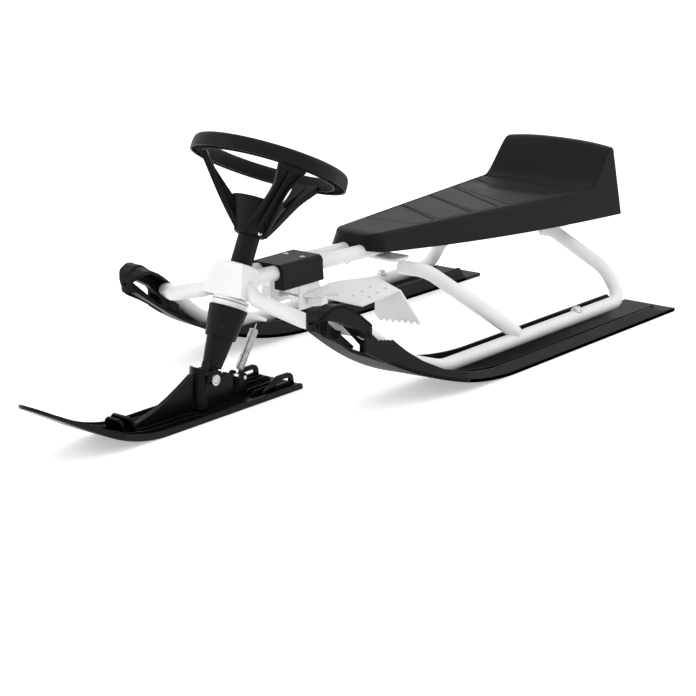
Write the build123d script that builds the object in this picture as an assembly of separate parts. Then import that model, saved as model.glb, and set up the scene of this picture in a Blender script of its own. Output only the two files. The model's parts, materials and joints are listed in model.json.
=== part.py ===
from build123d import *
# Steerable sled: a low seat on two wide side runners, with a steered front ski.
#
# All lengths are in millimetres and all angles in degrees.
# While the pieces are built, x runs forward from the tails of the two side
# runners, y runs to the rider's left and z runs up from the floor.
# export() then moves every piece so that the origin lies on the floor, under the
# middle of the sled.

import math
import os

# ---------------------------------------------------------------- side runners
runner_track = 400.0          # between the middles of the two side runners
runner_width = 97.0
runner_floor = 5.0            # thickness of the sliding face
runner_wall = 4.0             # thickness of the upright sides
runner_wall_height = 22.0
runner_flat_length = 470.0    # straight part, from the tail to the upsweep
runner_sweep_radius = 640.0   # of the inner edge
outer_sweep_radius = 565.0    # of the outer edge, which curls up sooner
sweep_end_x = 862.0
nose_overhang = 15.0          # from the upsweep's end to the tip
runner_taper_start = 600.0    # the outer side turns inwards from here
runner_shoulder_x = 785.0     # rear end of the loop
shoulder_shift = 8.0          # how far inside the runner's middle the loop begins
nose_shift = 21.0             # and how far inside it ends
loop_width = 40.0
inner_wall_end_x = 700.0      # the inner side wall ends here, and the outer one goes on
loop_top_z = 168.0            # at the inner edge
loop_outer_rise = 26.0        # how much higher the loop's front is at the outer edge
loop_heel_z = 138.0           # rear end of the loop's upper bar
loop_bar = 14.0               # thickness of the loop's upper bar
loop_skin = 7.0               # thickness of the upswept nose
grip_tooth_pitch = 7.0
grip_tooth_height = 3.0
grip_tooth_count = 4

# ---------------------------------------------------------------- steel frame
tube_diameter = 22.0
tube_wall = 2.0
tube_rest_z = 30.0            # height of the tube's middle inside the runner
tube_clearance = 1.5          # air between the tube and the runner's plastic
top_tube_spacing = 31.0       # between the middles of the two top tubes
top_tube_front_z = 177.0
top_tube_slope = 1.5
top_tube_rear_x = 118.0
brace_bend_radius = 60.0
plate_thickness = 4.0
bar_width = 38.0
front_bar_x = 508.0
front_bar_half_width = 58.0
rear_bar_x = 108.0
rear_bar_half_width = 92.0
tube_rest_places = (150.0, 230.0, 470.0)
tube_rest_length = 36.0

# ---------------------------------------------------------------- steering
rake = 25.6                   # lean of the steering axis from the vertical
wheel_x = 752.0               # middle of the wheel rim
wheel_z = 334.0
wheel_diameter = 233.0
rim_height = 22.0
rim_width = 19.0
rim_wall = 3.5
hub_top_depth = 57.0          # depths below the rim's middle, along the axis
hub_bottom_depth = 109.0
hub_top_radius = 44.0
hub_bottom_radius = 19.0
hub_wall = 4.0
spoke_width = 26.0
spoke_plate = 5.0
sleeve_diameter = 32.0
shaft_diameter = 20.0
running_clearance = 0.08      # radial, between the shaft and the head tube
head_top_depth = 153.0
head_bottom_depth = 208.0
head_diameter = 44.0
gap_between_flanges = 1.0
arch_root_drop = 21.0         # from the head tube's top down to the roots of the arches
cone_top_depth = 217.0
cone_step_depth = 262.0
cone_bottom_depth = 305.0
cone_top_diameter = 57.0
cone_step_diameter = 45.0
cone_bottom_diameter = 28.0

# ---------------------------------------------------------------- front ski
pivot_x = 895.0               # pitch axis of the front ski
pivot_z = 45.0
ski_rear_x = 731.0
ski_width = 92.0
ski_thickness = 10.0
ski_rim = 5.0
ski_recess = 4.0
ski_flat_end_x = 1020.0
ski_sweep_radius = 260.0
ski_sweep_angle = 28.0
ski_tip_x = 1240.0
ski_tip_width = 58.0
cheek_gap = 16.0              # between the two cheeks of the ski's pivot block
cheek_thickness = 6.0
cheek_top_radius = 14.0
pivot_bolt_diameter = 8.0
eye_clearance = 0.05

# ---------------------------------------------------------------- seat
seat_rear_x = -20.0
seat_front_x = 562.0
seat_front_half_width = 50.0
seat_rear_half_width = 128.0
seat_top_z = 201.0
seat_front_bottom_z = 174.0
seat_rear_bottom_z = 149.0
seat_corner = 24.0            # rounding of the front corners, seen from above
seat_edge_lean = 8.0          # how far the sides lean in
seat_skin = 5.0
seat_boss_inset = 17.0        # from a crossbar's end to the seat's boss on it
backrest_top_z = 268.0
backrest_top_half_width = 108.0
backrest_run = 98.0           # from the rear face to where the slope ends
backrest_shoulder = 18.0      # thickness at the top

# ---------------------------------------------------------------- cover, brake
cover_rear_x = 672.0
cover_front_x = 764.0
cover_half_width = 34.0
cover_bottom_z = 152.0
cover_top_z = 189.0
cover_wall = 3.0
brake_pivot_x = 700.0
brake_pivot_z = 126.0
brake_sheet = 3.0
brake_rod_diameter = 8.0
brake_claw_x = 582.0
brake_half_width = 145.0
claw_tooth_count = 7
claw_left_y = 60.0
brake_hole_diameter = 5.0
brake_hole_pitch = 20.0
brake_hole_rows = ((46.0, 75.5), (63.0, 91.5))  # first hole of each row, back from the rod and out

brake_sleeve_start = 31.5     # the pads' sleeves run on the rod from here
brake_sleeve_end = 58.0

half_track = runner_track / 2
tube_radius = tube_diameter / 2
middle_x = (seat_rear_x + ski_tip_x) / 2


def cos(angle):
    return math.cos(math.radians(angle))


def sin(angle):
    return math.sin(math.radians(angle))


def mirrored(piece):
    """The same piece on the rider's right."""
    return mirror(piece, about=Plane.XZ)


def prism_y(face, y_low, y_high):
    """A face drawn in x and z, made solid from y_low to y_high."""
    drawn = Plane.XZ.offset(-y_low) * face
    return extrude(drawn, amount=-(y_high - y_low))


def prism_z(face, z_low, z_high):
    """A face drawn in x and y, made solid from z_low to z_high."""
    return extrude(Plane.XY.offset(z_low) * face, amount=z_high - z_low)


def across(x, z, radius, length):
    """A cylinder across the sled, with its middle on the plane of symmetry."""
    return Pos(x, 0, z) * Rot(90, 0, 0) * Cylinder(radius, length)


def bent_path(points, radii):
    """Straight runs joined by tangent arcs."""
    return FilletPolyline(*points, radius=radii)


def rod_along(path, radius):
    """A round bar whose middle follows the path."""
    start = Plane(origin=path @ 0, z_dir=path % 0)
    return sweep(start * Circle(radius), path=path)


def steering_plane(depth):
    """Plane across the steering axis; its x points forward, its z up the axis."""
    origin = (wheel_x + depth * sin(rake), 0, wheel_z - depth * cos(rake))
    return Plane(origin=origin, x_dir=(cos(rake), 0, sin(rake)), z_dir=(-sin(rake), 0, cos(rake)))


def axis_cylinder(radius, top_depth, bottom_depth):
    """A cylinder on the steering axis between two depths."""
    return extrude(steering_plane(bottom_depth) * Circle(radius), amount=bottom_depth - top_depth)


def axis_cone(top_radius, bottom_radius, top_depth, bottom_depth):
    """A cone on the steering axis between two depths."""
    top = steering_plane(top_depth) * Circle(top_radius)
    bottom = steering_plane(bottom_depth) * Circle(bottom_radius)
    return loft([bottom, top])


# ---------------------------------------------------------------- side runner
def sweep_z(radius, x):
    """Height of an upswept edge of the given radius."""
    reach = x - runner_flat_length
    return radius - math.sqrt(radius ** 2 - reach ** 2)


def sweep_arc(radius, raise_by):
    """The upsweep of one edge, lifted by raise_by."""
    start = (runner_flat_length, raise_by)
    middle_at = runner_flat_length + 0.55 * (sweep_end_x - runner_flat_length)
    middle = (middle_at, sweep_z(radius, middle_at) + raise_by)
    end = (sweep_end_x, sweep_z(radius, sweep_end_x) + raise_by)
    return ThreePointArc(start, middle, end)


def side_plane(y):
    """Upright plane along the runner; its x is the sled's x, its y the height."""
    return Plane(origin=(0, y, 0), x_dir=(1, 0, 0), z_dir=(0, -1, 0))


def runner_profile(radius, rise):
    """Side view at one edge: sliding face, loop nose, grip teeth and walls."""
    lower = sweep_arc(radius, 0)
    nose = (sweep_end_x, sweep_z(radius, sweep_end_x))
    crown = (sweep_end_x + 3, loop_top_z + rise)
    tip = (sweep_end_x + nose_overhang, (nose[1] + crown[1]) / 2 + 2)
    heel = (runner_shoulder_x + 1, loop_heel_z)
    bar_middle = (sweep_end_x - 28, loop_top_z - 3 + 0.35 * rise)
    heel_low = (heel[0] + 7, heel[1] - 8)
    tooth_x = heel[0] - 17
    tooth_z = heel[1] - 30
    teeth = [heel_low, (tooth_x, tooth_z)]
    for i in range(grip_tooth_count):
        x = tooth_x - i * grip_tooth_pitch
        teeth.append((x - grip_tooth_pitch * 0.4, tooth_z - i + grip_tooth_height))
        teeth.append((x - grip_tooth_pitch, tooth_z - i - 1))
    slope_end = (540, runner_wall_height)
    outline = (lower + ThreePointArc(nose, tip, crown) + ThreePointArc(crown, bar_middle, heel)
               + Polyline(heel, *teeth) + ThreePointArc(teeth[-1], (650, 46), slope_end)
               + Polyline(slope_end, (78, runner_wall_height), (40, 9), (0, 9), (0, 5), (24, 0),
                          (runner_flat_length, 0)))
    return outline


def banked(inner_outline, outer_outline):
    """A solid ruled from the runner's inner edge to its outer edge."""
    inner = side_plane(-runner_width / 2) * make_face(inner_outline)
    outer = side_plane(runner_width / 2) * make_face(outer_outline)
    return loft([inner, outer], ruled=True)


def runner_plan(inset):
    """Seen from above: full width, then the outer side turns in to the rounded nose."""
    half = runner_width / 2 - inset
    bar = loop_width / 2 - inset
    corner = 10
    turn_x = sweep_end_x + nose_overhang - loop_width / 2
    outer = [(0, half - corner), (corner, half), (runner_taper_start, half),
             (runner_shoulder_x, bar - shoulder_shift), (turn_x, bar - nose_shift)]
    inner = [(turn_x, -bar - nose_shift), (inner_wall_end_x, -half), (corner, -half), (0, corner - half)]
    tip = ThreePointArc(outer[-1], (turn_x + bar, -nose_shift), inner[0])
    return make_face(Polyline(*outer) + tip + Polyline(*inner, outer[0]))


def skin_z(x):
    """Height of the upswept skin's upper side, half way across."""
    return sweep_z((runner_sweep_radius + outer_sweep_radius) / 2, x) + loop_skin


def inner_relief():
    """Space beside the loop, above the skin, where the inner wall has ended."""
    side = [(inner_wall_end_x, sweep_z(runner_sweep_radius, inner_wall_end_x) + loop_skin)]
    for share in (0.35, 0.7, 1):
        x = inner_wall_end_x + share * (sweep_end_x - inner_wall_end_x)
        side.append((x, sweep_z(runner_sweep_radius, x) + loop_skin + 4 * share))
    side = side + [(sweep_end_x + 30, 260), (inner_wall_end_x - 70, 260), (inner_wall_end_x - 70, 32)]
    tall = prism_y(make_face(Polyline(*side, side[0])), -runner_width, runner_width)
    edge = [(runner_shoulder_x, -loop_width / 2 - shoulder_shift),
            (sweep_end_x, -loop_width / 2 - nose_shift)]
    plan = [(inner_wall_end_x - 80, edge[0][1]), edge[0], edge[1], (sweep_end_x + 40, edge[1][1]),
            (sweep_end_x + 40, -runner_width), (inner_wall_end_x - 80, -runner_width)]
    return tall & prism_z(make_face(Polyline(*plan, plan[0])), -1, 260)


def loop_window():
    """The hole through the nose, between its skin and the loop's upper bar."""
    rear_x = runner_shoulder_x - 5
    front_x = sweep_end_x - 10
    bar_low = loop_top_z - loop_bar
    points = [(rear_x, skin_z(rear_x) + 1), (front_x, skin_z(front_x) + 1), (front_x - 12, bar_low + 6),
              (front_x - 42, bar_low - 13), (rear_x + 12, loop_heel_z - 22)]
    return fillet(make_face(Polyline(*points, points[0])).vertices(), 2.5)


def runner_hollow():
    """The space between the walls, above the sliding face and behind the loop."""
    def above(radius):
        arc = sweep_arc(radius, runner_floor)
        end = arc @ 1
        return arc + Polyline(end, (end.X, 260), (-5, 260), (-5, runner_floor),
                              (runner_flat_length, runner_floor))

    tall = banked(above(runner_sweep_radius), above(outer_sweep_radius))
    tall = tall & prism_z(runner_plan(runner_wall), -1, 250)
    rear_face = [(-10, -10), (runner_shoulder_x - 34, -10), (runner_shoulder_x - 8, loop_heel_z),
                 (runner_shoulder_x, 270), (-10, 270)]
    return tall & prism_y(make_face(Polyline(*rear_face, rear_face[0])), -runner_width, runner_width)


def side_tube_points():
    """Middle line of one side tube: head, front arch, runner, rear hoop, seat."""
    y = half_track - 2
    hoop_z = crossbar_low(rear_bar_x) - tube_radius
    root = steering_plane(head_top_depth + arch_root_drop).origin
    return [(root.X + 2, 12, root.Z), (root.X + 15, 50, root.Z - 20), (828, 126, 136), (779, 190, 124),
            (693, y, 61), (600, y, tube_rest_z), (91, y, tube_rest_z), (97, 168, 80), (104, 68, hoop_z),
            (106, 46, hoop_z)]


def side_tube_path():
    return bent_path(side_tube_points(), [14, 26, 40, 60, 110, 26, 60, 30])


def side_tube():
    path = side_tube_path()
    solid = rod_along(path, tube_radius) - rod_along(path, tube_radius - tube_wall)
    solid = solid - axis_cylinder(head_diameter / 2, head_top_depth, head_bottom_depth)
    return solid - top_tube_bar(tube_radius)


def runner():
    shape = banked(runner_profile(runner_sweep_radius, 0),
                   runner_profile(outer_sweep_radius, loop_outer_rise))
    shape = shape & prism_z(runner_plan(0), -1, 250)
    shape = shape - runner_hollow() - inner_relief() - prism_y(loop_window(), -runner_width, runner_width)
    shape = Pos(0, half_track, 0) * shape
    shape = shape - rod_along(side_tube_path(), tube_radius + tube_clearance)
    for x in tube_rest_places:
        shape = shape + tube_rest(x)
    return shape


def tube_rest(x):
    """A plastic saddle between the runner's floor and the side tube."""
    saddle = Rectangle(tube_rest_length, tube_diameter + 8)
    block = Pos(x, half_track - 2, 0) * prism_z(saddle, runner_floor - 1, tube_rest_z - 4)
    return block - rod_along(side_tube_path(), tube_radius)


# ---------------------------------------------------------------- frame
def top_tube_z(x):
    return top_tube_front_z - (800 - x) * math.tan(math.radians(top_tube_slope))


def top_tube_bar(radius):
    """A round bar on the middle line of the left top tube."""
    y = top_tube_spacing / 2
    front_x = 822
    path = Line((top_tube_rear_x, y, top_tube_z(top_tube_rear_x)), (front_x, y, top_tube_z(front_x)))
    return rod_along(path, radius)


def top_tube():
    solid = top_tube_bar(tube_radius) - top_tube_bar(tube_radius - tube_wall)
    return solid - axis_cylinder(head_diameter / 2, head_top_depth - 60, head_bottom_depth + 60)


def brace():
    top_z = crossbar_low(front_bar_x) - tube_radius
    points = [(front_bar_x, 52, top_z), (front_bar_x - 4, 100, top_z), (452, 180, 78),
              (404, half_track - 2, 40)]
    path = bent_path(points, [brace_bend_radius * 0.7, brace_bend_radius])
    solid = rod_along(path, tube_radius) - rod_along(path, tube_radius - tube_wall)
    return solid - rod_along(side_tube_path(), tube_radius)


def crossbar_low(x):
    """The underside of a crossbar, which hangs below the top tubes' rear edge on it."""
    return top_tube_z(x - bar_width / 2) - tube_radius - plate_thickness


def crossbar(x, half_width):
    """A flat bar across the frame, welded under the top tubes."""
    low = crossbar_low(x)
    bar = RectangleRounded(bar_width, 2 * half_width, 8)
    return Pos(x, 0, 0) * prism_z(bar, low, low + plate_thickness)


def head_tube():
    outer = axis_cylinder(head_diameter / 2, head_top_depth, head_bottom_depth)
    bore = axis_cylinder(shaft_diameter / 2 + running_clearance, head_top_depth - 1, head_bottom_depth + 1)
    flange = axis_cylinder(head_diameter / 2 + 5, head_bottom_depth - plate_thickness, head_bottom_depth)
    return outer + flange - bore


def head_bracket():
    """Folded sheet round the front of the head tube, over the roots of the arches."""
    sheet = 3.0
    top_half = head_diameter / 2 + sheet
    low_half = 40.0
    depth_low = 12.0
    front = head_diameter / 2 + sheet
    low = head_bottom_depth - plate_thickness

    def section(depth, half, inset):
        plane = steering_plane(depth)
        points = [(-depth_low, -half + inset), (front - inset, -half + inset),
                  (front - inset, half - inset), (-depth_low, half - inset)]
        return plane * make_face(Polyline(*points, points[0]))

    outer = loft([section(low, low_half, 0), section(head_top_depth + 2, top_half, 0)])
    inner = loft([section(low + 2, low_half, sheet), section(head_top_depth, top_half, sheet)])
    back = inner + axis_cylinder(head_diameter / 2, head_top_depth, low + 6)
    arch = rod_along(side_tube_path(), tube_radius)
    rod = top_tube_bar(tube_radius)
    return outer - back - arch - mirrored(arch) - rod - mirrored(rod)


# ---------------------------------------------------------------- seat
def seat_half_width(x):
    share = (seat_front_x - x) / (seat_front_x - seat_rear_x)
    return seat_front_half_width + share * (seat_rear_half_width - seat_front_half_width)


def seat_section(x, top_z, bottom_z, top_half, bottom_half, inset):
    """Cross-section of the seat's base with rounded upper edges."""
    t = top_z - inset
    b = bottom_z
    th = top_half - inset
    bh = bottom_half - inset
    r = 12 - inset
    left = [(bh, b), (th + 1, t - r)]
    shape = (Line(left[0], left[1]) + ThreePointArc(left[1], (th - 0.29 * r, t - 0.29 * r), (th - r, t))
             + Line((th - r, t), (-th + r, t))
             + ThreePointArc((-th + r, t), (-th + 0.29 * r, t - 0.29 * r), (-th - 1, t - r))
             + Polyline((-th - 1, t - r), (-bh, b), (bh, b)))
    return Plane(origin=(x, 0, 0), x_dir=(0, 1, 0), z_dir=(1, 0, 0)) * make_face(shape)


def seat_body(inset, low):
    sections = []
    span = seat_front_x - seat_rear_x
    for share in (0, 0.33, 0.66, 1):
        x = seat_rear_x + inset + share * (span - 2 * inset)
        half = seat_half_width(x)
        bottom = seat_rear_bottom_z + (seat_front_bottom_z - seat_rear_bottom_z) * share ** 2
        sections.append(seat_section(x, seat_top_z, bottom - low, half - seat_edge_lean, half, inset))
    return loft(sections, ruled=True)


def backrest():
    """Rises from the rear of the seat in a hollow slope, narrowing to its top."""
    rise = backrest_top_z - seat_top_z
    base = seat_top_z - 2 * seat_skin
    foot = backrest_run - backrest_shoulder
    slope = []
    for along, up in ((0, 0.98), (0.27, 0.75), (0.43, 0.48), (0.59, 0.25), (0.78, 0.05), (1, 0)):
        slope.append((seat_rear_x + backrest_shoulder + along * foot, seat_top_z + up * rise))
    top_rear = (seat_rear_x + 6, backrest_top_z)
    outline = (Polyline(slope[-1], (slope[-1][0], base), (seat_rear_x, base),
                        (seat_rear_x, backrest_top_z - 6), top_rear)
               + Line(top_rear, slope[0]) + Spline(*slope))
    solid = prism_y(make_face(outline), -seat_rear_half_width, seat_rear_half_width)
    low = seat_rear_half_width - seat_edge_lean
    top = backrest_top_half_width
    width = [(-low, base - 1), (low, base - 1), (low, seat_top_z), (top, backrest_top_z + 1),
             (-top, backrest_top_z + 1), (-low, seat_top_z)]
    face = make_face(Polyline(*width, width[0]))
    front_view = Plane(origin=(seat_rear_x - 1, 0, 0), x_dir=(0, 1, 0), z_dir=(1, 0, 0)) * face
    return solid & extrude(front_view, amount=backrest_run + 2)


def seat_front_corners(inset):
    """Seen from above: wide everywhere but at the front, where the corners are rounded."""
    corner = seat_corner - inset
    turn_x = seat_front_x - seat_corner
    half = seat_half_width(turn_x) - inset
    wide = seat_rear_half_width + 10
    end = (seat_front_x - inset + 1, half - corner)
    middle = (turn_x + 0.72 * corner, half - 0.28 * corner)
    left = ThreePointArc((turn_x, half), middle, end)
    right = ThreePointArc((end[0], -end[1]), (middle[0], -middle[1]), (turn_x, -half))
    rear = Polyline((turn_x, -half), (turn_x, -wide), (seat_rear_x - 10, -wide), (seat_rear_x - 10, wide),
                    (turn_x, wide), (turn_x, half))
    return prism_z(make_face(left + Line(end, (end[0], -end[1])) + right + rear), 0, seat_top_z + 1)


def seat():
    body = (seat_body(0, 0) & seat_front_corners(0)) + backrest()
    body = body - (seat_body(seat_skin, 6) & seat_front_corners(seat_skin))
    for x, half in ((front_bar_x, front_bar_half_width), (rear_bar_x, rear_bar_half_width)):
        low = crossbar_low(x) + plate_thickness
        for side in (-1, 1):
            boss = Pos(x, side * (half - seat_boss_inset), 0) * Rectangle(24, 12)
            body = body + prism_z(boss, low, seat_top_z - seat_skin + 1)
    mouth = prism_z(Rectangle(30, 66), 140, top_tube_z(seat_front_x) + tube_radius + 3)
    mouth = Pos(seat_front_x, 0, 0) * mouth
    return body - mouth


# ---------------------------------------------------------------- cover
def cover_section(x, inset):
    half = cover_half_width - inset
    top_half = half - 8
    top = cover_top_z - inset
    low = cover_bottom_z - (1 if inset else 0)
    r = 7 - inset
    shape = (Line((half, low), (half - 2, top - 12))
             + ThreePointArc((half - 2, top - 12), (top_half + r - 3, top - 3), (top_half - 2, top))
             + Line((top_half - 2, top), (2 - top_half, top))
             + ThreePointArc((2 - top_half, top), (3 - r - top_half, top - 3), (2 - half, top - 12))
             + Polyline((2 - half, top - 12), (-half, low), (half, low)))
    return Plane(origin=(x, 0, 0), x_dir=(0, 1, 0), z_dir=(1, 0, 0)) * make_face(shape)


def cover():
    length = cover_front_x - cover_rear_x
    outer = extrude(cover_section(cover_rear_x, 0), amount=length)
    inner = extrude(cover_section(cover_rear_x + cover_wall, cover_wall), amount=length - 2 * cover_wall)
    shell = outer - inner
    y = top_tube_spacing / 2
    for side in (-1, 1):
        path = Line((600, side * y, top_tube_z(600)), (828, side * y, top_tube_z(828)))
        shell = shell - rod_along(path, tube_radius + 0.6)
    slot = prism_z(Rectangle(300, 2 * y + 2), 100, top_tube_z(700))
    slot = Pos((cover_rear_x + cover_front_x) / 2, 0, 0) * slot
    return shell - slot


# ---------------------------------------------------------------- brake
def brake_hanger():
    """A U of sheet hung from the top tubes, with holes for the brake's rod."""
    top = top_tube_z(brake_pivot_x) - tube_radius + 3
    length = 44.0
    cheek_y = 28.0
    sheet = 3.0
    low = brake_pivot_z - 12
    cheek = prism_z(Rectangle(length, sheet), low, top)
    body = Pos(brake_pivot_x, cheek_y, 0) * cheek + Pos(brake_pivot_x, -cheek_y, 0) * cheek
    web = Pos(brake_pivot_x, 0, 0) * prism_z(Rectangle(length, 2 * cheek_y + sheet), top - sheet, top)
    body = body + web
    hole = across(brake_pivot_x, brake_pivot_z, brake_rod_diameter / 2 + eye_clearance, 200)
    body = body - hole - top_tube_bar(tube_radius) - mirrored(top_tube_bar(tube_radius))
    return body.solids().sort_by(SortBy.VOLUME)[-1]


def brake_rod():
    return across(brake_pivot_x, brake_pivot_z, brake_rod_diameter / 2, 2 * brake_sleeve_end)


def brake_pad(side):
    """One foot pad: a swept plate that falls outwards, with a toothed claw."""
    inner = brake_sleeve_start
    sleeve_rear = brake_pivot_x - 44
    outline = [(brake_pivot_x + 16, inner), (brake_pivot_x - 10, 56), (brake_pivot_x - 36, 100),
               (brake_claw_x, brake_half_width - 38), (brake_claw_x, claw_left_y),
               (sleeve_rear - 16, inner + 4), (sleeve_rear, inner)]
    face = make_face(Polyline(*outline, outline[0]))
    for first, y in brake_hole_rows:
        for i in range(3):
            x = brake_pivot_x - first - i * brake_hole_pitch
            face = face - Pos(x, y) * Circle(brake_hole_diameter / 2)
    face = face - Pos(brake_pivot_x - 21, 54) * Rot(0, 0, 145) * SlotOverall(22, 7)
    slab = prism_z(face, 0, 3 * brake_pivot_z)

    def plate_z(x, y):
        return brake_pivot_z + 1 - 0.30 * (y - 100) - 0.12 * (x - brake_pivot_x + 80)

    def surface(drop):
        corners = []
        for x, y in ((brake_claw_x - 20, 0), (brake_pivot_x + 60, 0), (brake_pivot_x + 60, brake_half_width),
                     (brake_claw_x - 20, brake_half_width)):
            corners.append((x, y, plate_z(x, y) - drop))
        return make_face(Polyline(*corners, corners[0]))

    low = extrude(surface(brake_sheet), amount=3 * brake_pivot_z, dir=(0, 0, 1))
    high = extrude(surface(0), amount=3 * brake_pivot_z, dir=(0, 0, 1))
    plate = slab & (low - high)
    claw_low = brake_pivot_z - 51
    claw_points = []
    for y in (claw_left_y, brake_half_width - 38):
        claw_points.append((y, plate_z(brake_claw_x, y) - 1))
    claw_points.append((brake_half_width, claw_low + 9))
    pitch = (brake_half_width - claw_left_y - 5) / claw_tooth_count
    for i in range(claw_tooth_count):
        y = brake_half_width - (i + 1) * pitch
        low_z = claw_low + (y - claw_left_y) * 0.09
        claw_points.append((y + pitch * 0.6, low_z))
        claw_points.append((y, low_z + 5))
    claw_points.append((claw_left_y, claw_low + 11))
    claw_face = make_face(Polyline(*claw_points, claw_points[0]))
    claw = Plane(origin=(brake_claw_x - brake_sheet, 0, 0), x_dir=(0, 1, 0), z_dir=(1, 0, 0)) * claw_face
    claw = extrude(claw, amount=brake_sheet + 0.5)
    middle_y = (brake_sleeve_start + brake_sleeve_end) / 2
    sleeve = across(brake_pivot_x, brake_pivot_z, 8, brake_sleeve_end - brake_sleeve_start)
    sleeve = Pos(0, middle_y, 0) * sleeve
    pad = plate + claw + sleeve - across(brake_pivot_x, brake_pivot_z, brake_rod_diameter / 2, 300)
    if side < 0:
        pad = mirrored(pad)
    return pad


# ---------------------------------------------------------------- wheel
def wheel_rim():
    outer = wheel_diameter / 2
    half = rim_height / 2
    top = steering_plane(-half)
    low = steering_plane(half)
    ring = extrude(low * Circle(outer), amount=rim_height)
    ring = ring - extrude(low * Circle(outer - rim_width), amount=rim_height)
    groove = extrude(low * Circle(outer - rim_wall), amount=rim_height - rim_wall)
    groove = groove - extrude(low * Circle(outer - rim_width + rim_wall), amount=rim_height - rim_wall)
    return ring - groove


def wheel_hub():
    outer = axis_cone(hub_top_radius, hub_bottom_radius, hub_top_depth, hub_bottom_depth)
    inner = axis_cone(hub_top_radius - hub_wall, hub_bottom_radius - 4,
                      hub_top_depth - 1, hub_bottom_depth - 14)
    return outer - inner


def wheel_spoke(angle):
    """A sloping plate with a rib behind it, from the rim down to the hub."""
    turn = steering_plane(0)
    rim_inner = wheel_diameter / 2 - rim_width + rim_wall
    plate = [(hub_bottom_radius - 3, -hub_bottom_depth), (hub_bottom_radius + 2, -hub_bottom_depth),
             (rim_inner + 2, -11), (rim_inner + 2, -4), (rim_inner - 4, -4)]
    face = make_face(Polyline(*plate, plate[0]))
    rib = [(hub_bottom_radius - 2, -hub_bottom_depth + 10), (rim_inner - 1, -6), (rim_inner - 9, 3),
           (hub_top_radius - 3, -hub_top_depth)]
    rib_face = make_face(Polyline(*rib, rib[0]))

    def radial(drawn, width):
        solid = extrude(Plane.XZ * drawn, amount=width / 2, both=True)
        return turn.location * (Rot(0, 0, angle) * solid)

    spoke = radial(face, spoke_width) + radial(rib_face, spoke_plate)
    return spoke


def steering_wheel():
    wheel = wheel_rim() + wheel_hub()
    for angle in (60, 180, 300):
        wheel = wheel + wheel_spoke(angle)
    bore = axis_cylinder(shaft_diameter / 2, hub_top_depth - 20, hub_bottom_depth + 1)
    return wheel - bore


def column_sleeve():
    outer = axis_cylinder(sleeve_diameter / 2, hub_bottom_depth, head_top_depth - gap_between_flanges)
    return outer - axis_cylinder(shaft_diameter / 2, hub_bottom_depth - 1, head_top_depth)


def steering_shaft():
    return axis_cylinder(shaft_diameter / 2, hub_bottom_depth - 24, cone_bottom_depth - 30)


def steering_cone():
    upper = axis_cone(cone_top_diameter / 2, cone_step_diameter / 2, cone_top_depth, cone_step_depth)
    lower = axis_cone(cone_step_diameter / 2 - 3, cone_bottom_diameter / 2,
                      cone_step_depth, cone_bottom_depth)
    body = upper + lower
    return body - axis_cylinder(shaft_diameter / 2, cone_top_depth - 1, cone_bottom_depth - 30)


def spring_bracket():
    """Flat plate on top of the cone, reaching back to the spring's hook."""
    top = head_bottom_depth + gap_between_flanges
    plane = steering_plane(cone_top_depth)
    plate = extrude(plane * Circle(cone_top_diameter / 2 - 2), amount=cone_top_depth - top)
    arm = plane * (Pos(-40, 0, 0) * RectangleRounded(80, 26, 9))
    plate = plate + extrude(arm, amount=4)
    hole = extrude(steering_plane(cone_top_depth + 1) * (Pos(-71, 0, 0) * Circle(3)), amount=12)
    return plate - hole - axis_cylinder(shaft_diameter / 2, top - 1, cone_top_depth + 1)


def fork_end():
    """Flattened end of the column with the eye for the ski's pivot bolt."""
    thickness = cheek_gap - 1
    start = steering_plane(cone_bottom_depth).origin
    points = [(start.X - 11, start.Z + 3), (start.X + 11, start.Z + 10), (pivot_x + 10, pivot_z),
              (pivot_x - 10, pivot_z)]
    web = prism_y(make_face(Polyline(*points, points[0])), -thickness / 2, thickness / 2)
    eye = Pos(pivot_x, 0, pivot_z) * Rot(90, 0, 0) * Cylinder(11, thickness)
    hole = Pos(pivot_x, 0, pivot_z) * Rot(90, 0, 0) * Cylinder(pivot_bolt_diameter / 2 + eye_clearance, 60)
    body = web + eye - hole
    cone = axis_cone(cone_step_diameter / 2 - 3, cone_bottom_diameter / 2, cone_step_depth, cone_bottom_depth)
    return body - cone


# ---------------------------------------------------------------- front ski
def ski_lower(offset, end_x):
    radius = ski_sweep_radius - offset
    start = (ski_flat_end_x, offset)
    half = ski_sweep_angle / 2
    middle = (ski_flat_end_x + radius * sin(half), ski_sweep_radius - radius * cos(half))
    end = (ski_flat_end_x + radius * sin(ski_sweep_angle), ski_sweep_radius - radius * cos(ski_sweep_angle))
    far = (end_x, end[1] + (end_x - end[0]) * math.tan(math.radians(ski_sweep_angle)))
    return ThreePointArc(start, middle, end) + Line(end, far), start, far


def ski_side(low_offset, high_offset, rear_x, end_x):
    lower, low_start, low_end = ski_lower(low_offset, end_x)
    upper, high_start, high_end = ski_lower(high_offset, end_x)
    rear = Polyline(low_start, (rear_x, low_offset), (rear_x, high_offset), high_start)
    return make_face(lower + upper + rear + Line(low_end, high_end))


def ski_plan(inset):
    half = ski_width / 2 - inset
    tip = ski_tip_width / 2 - inset
    rear = ski_rear_x + inset
    side = [(rear, half - 8), (rear + 8, half), (1105, half), (ski_tip_x - 22, tip)]
    other = [(x, -y) for x, y in reversed(side)]
    nose = ThreePointArc(side[-1], (ski_tip_x - inset, 0), other[0])
    return make_face(Polyline(*side) + nose + Polyline(*other, side[0]))


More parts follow.
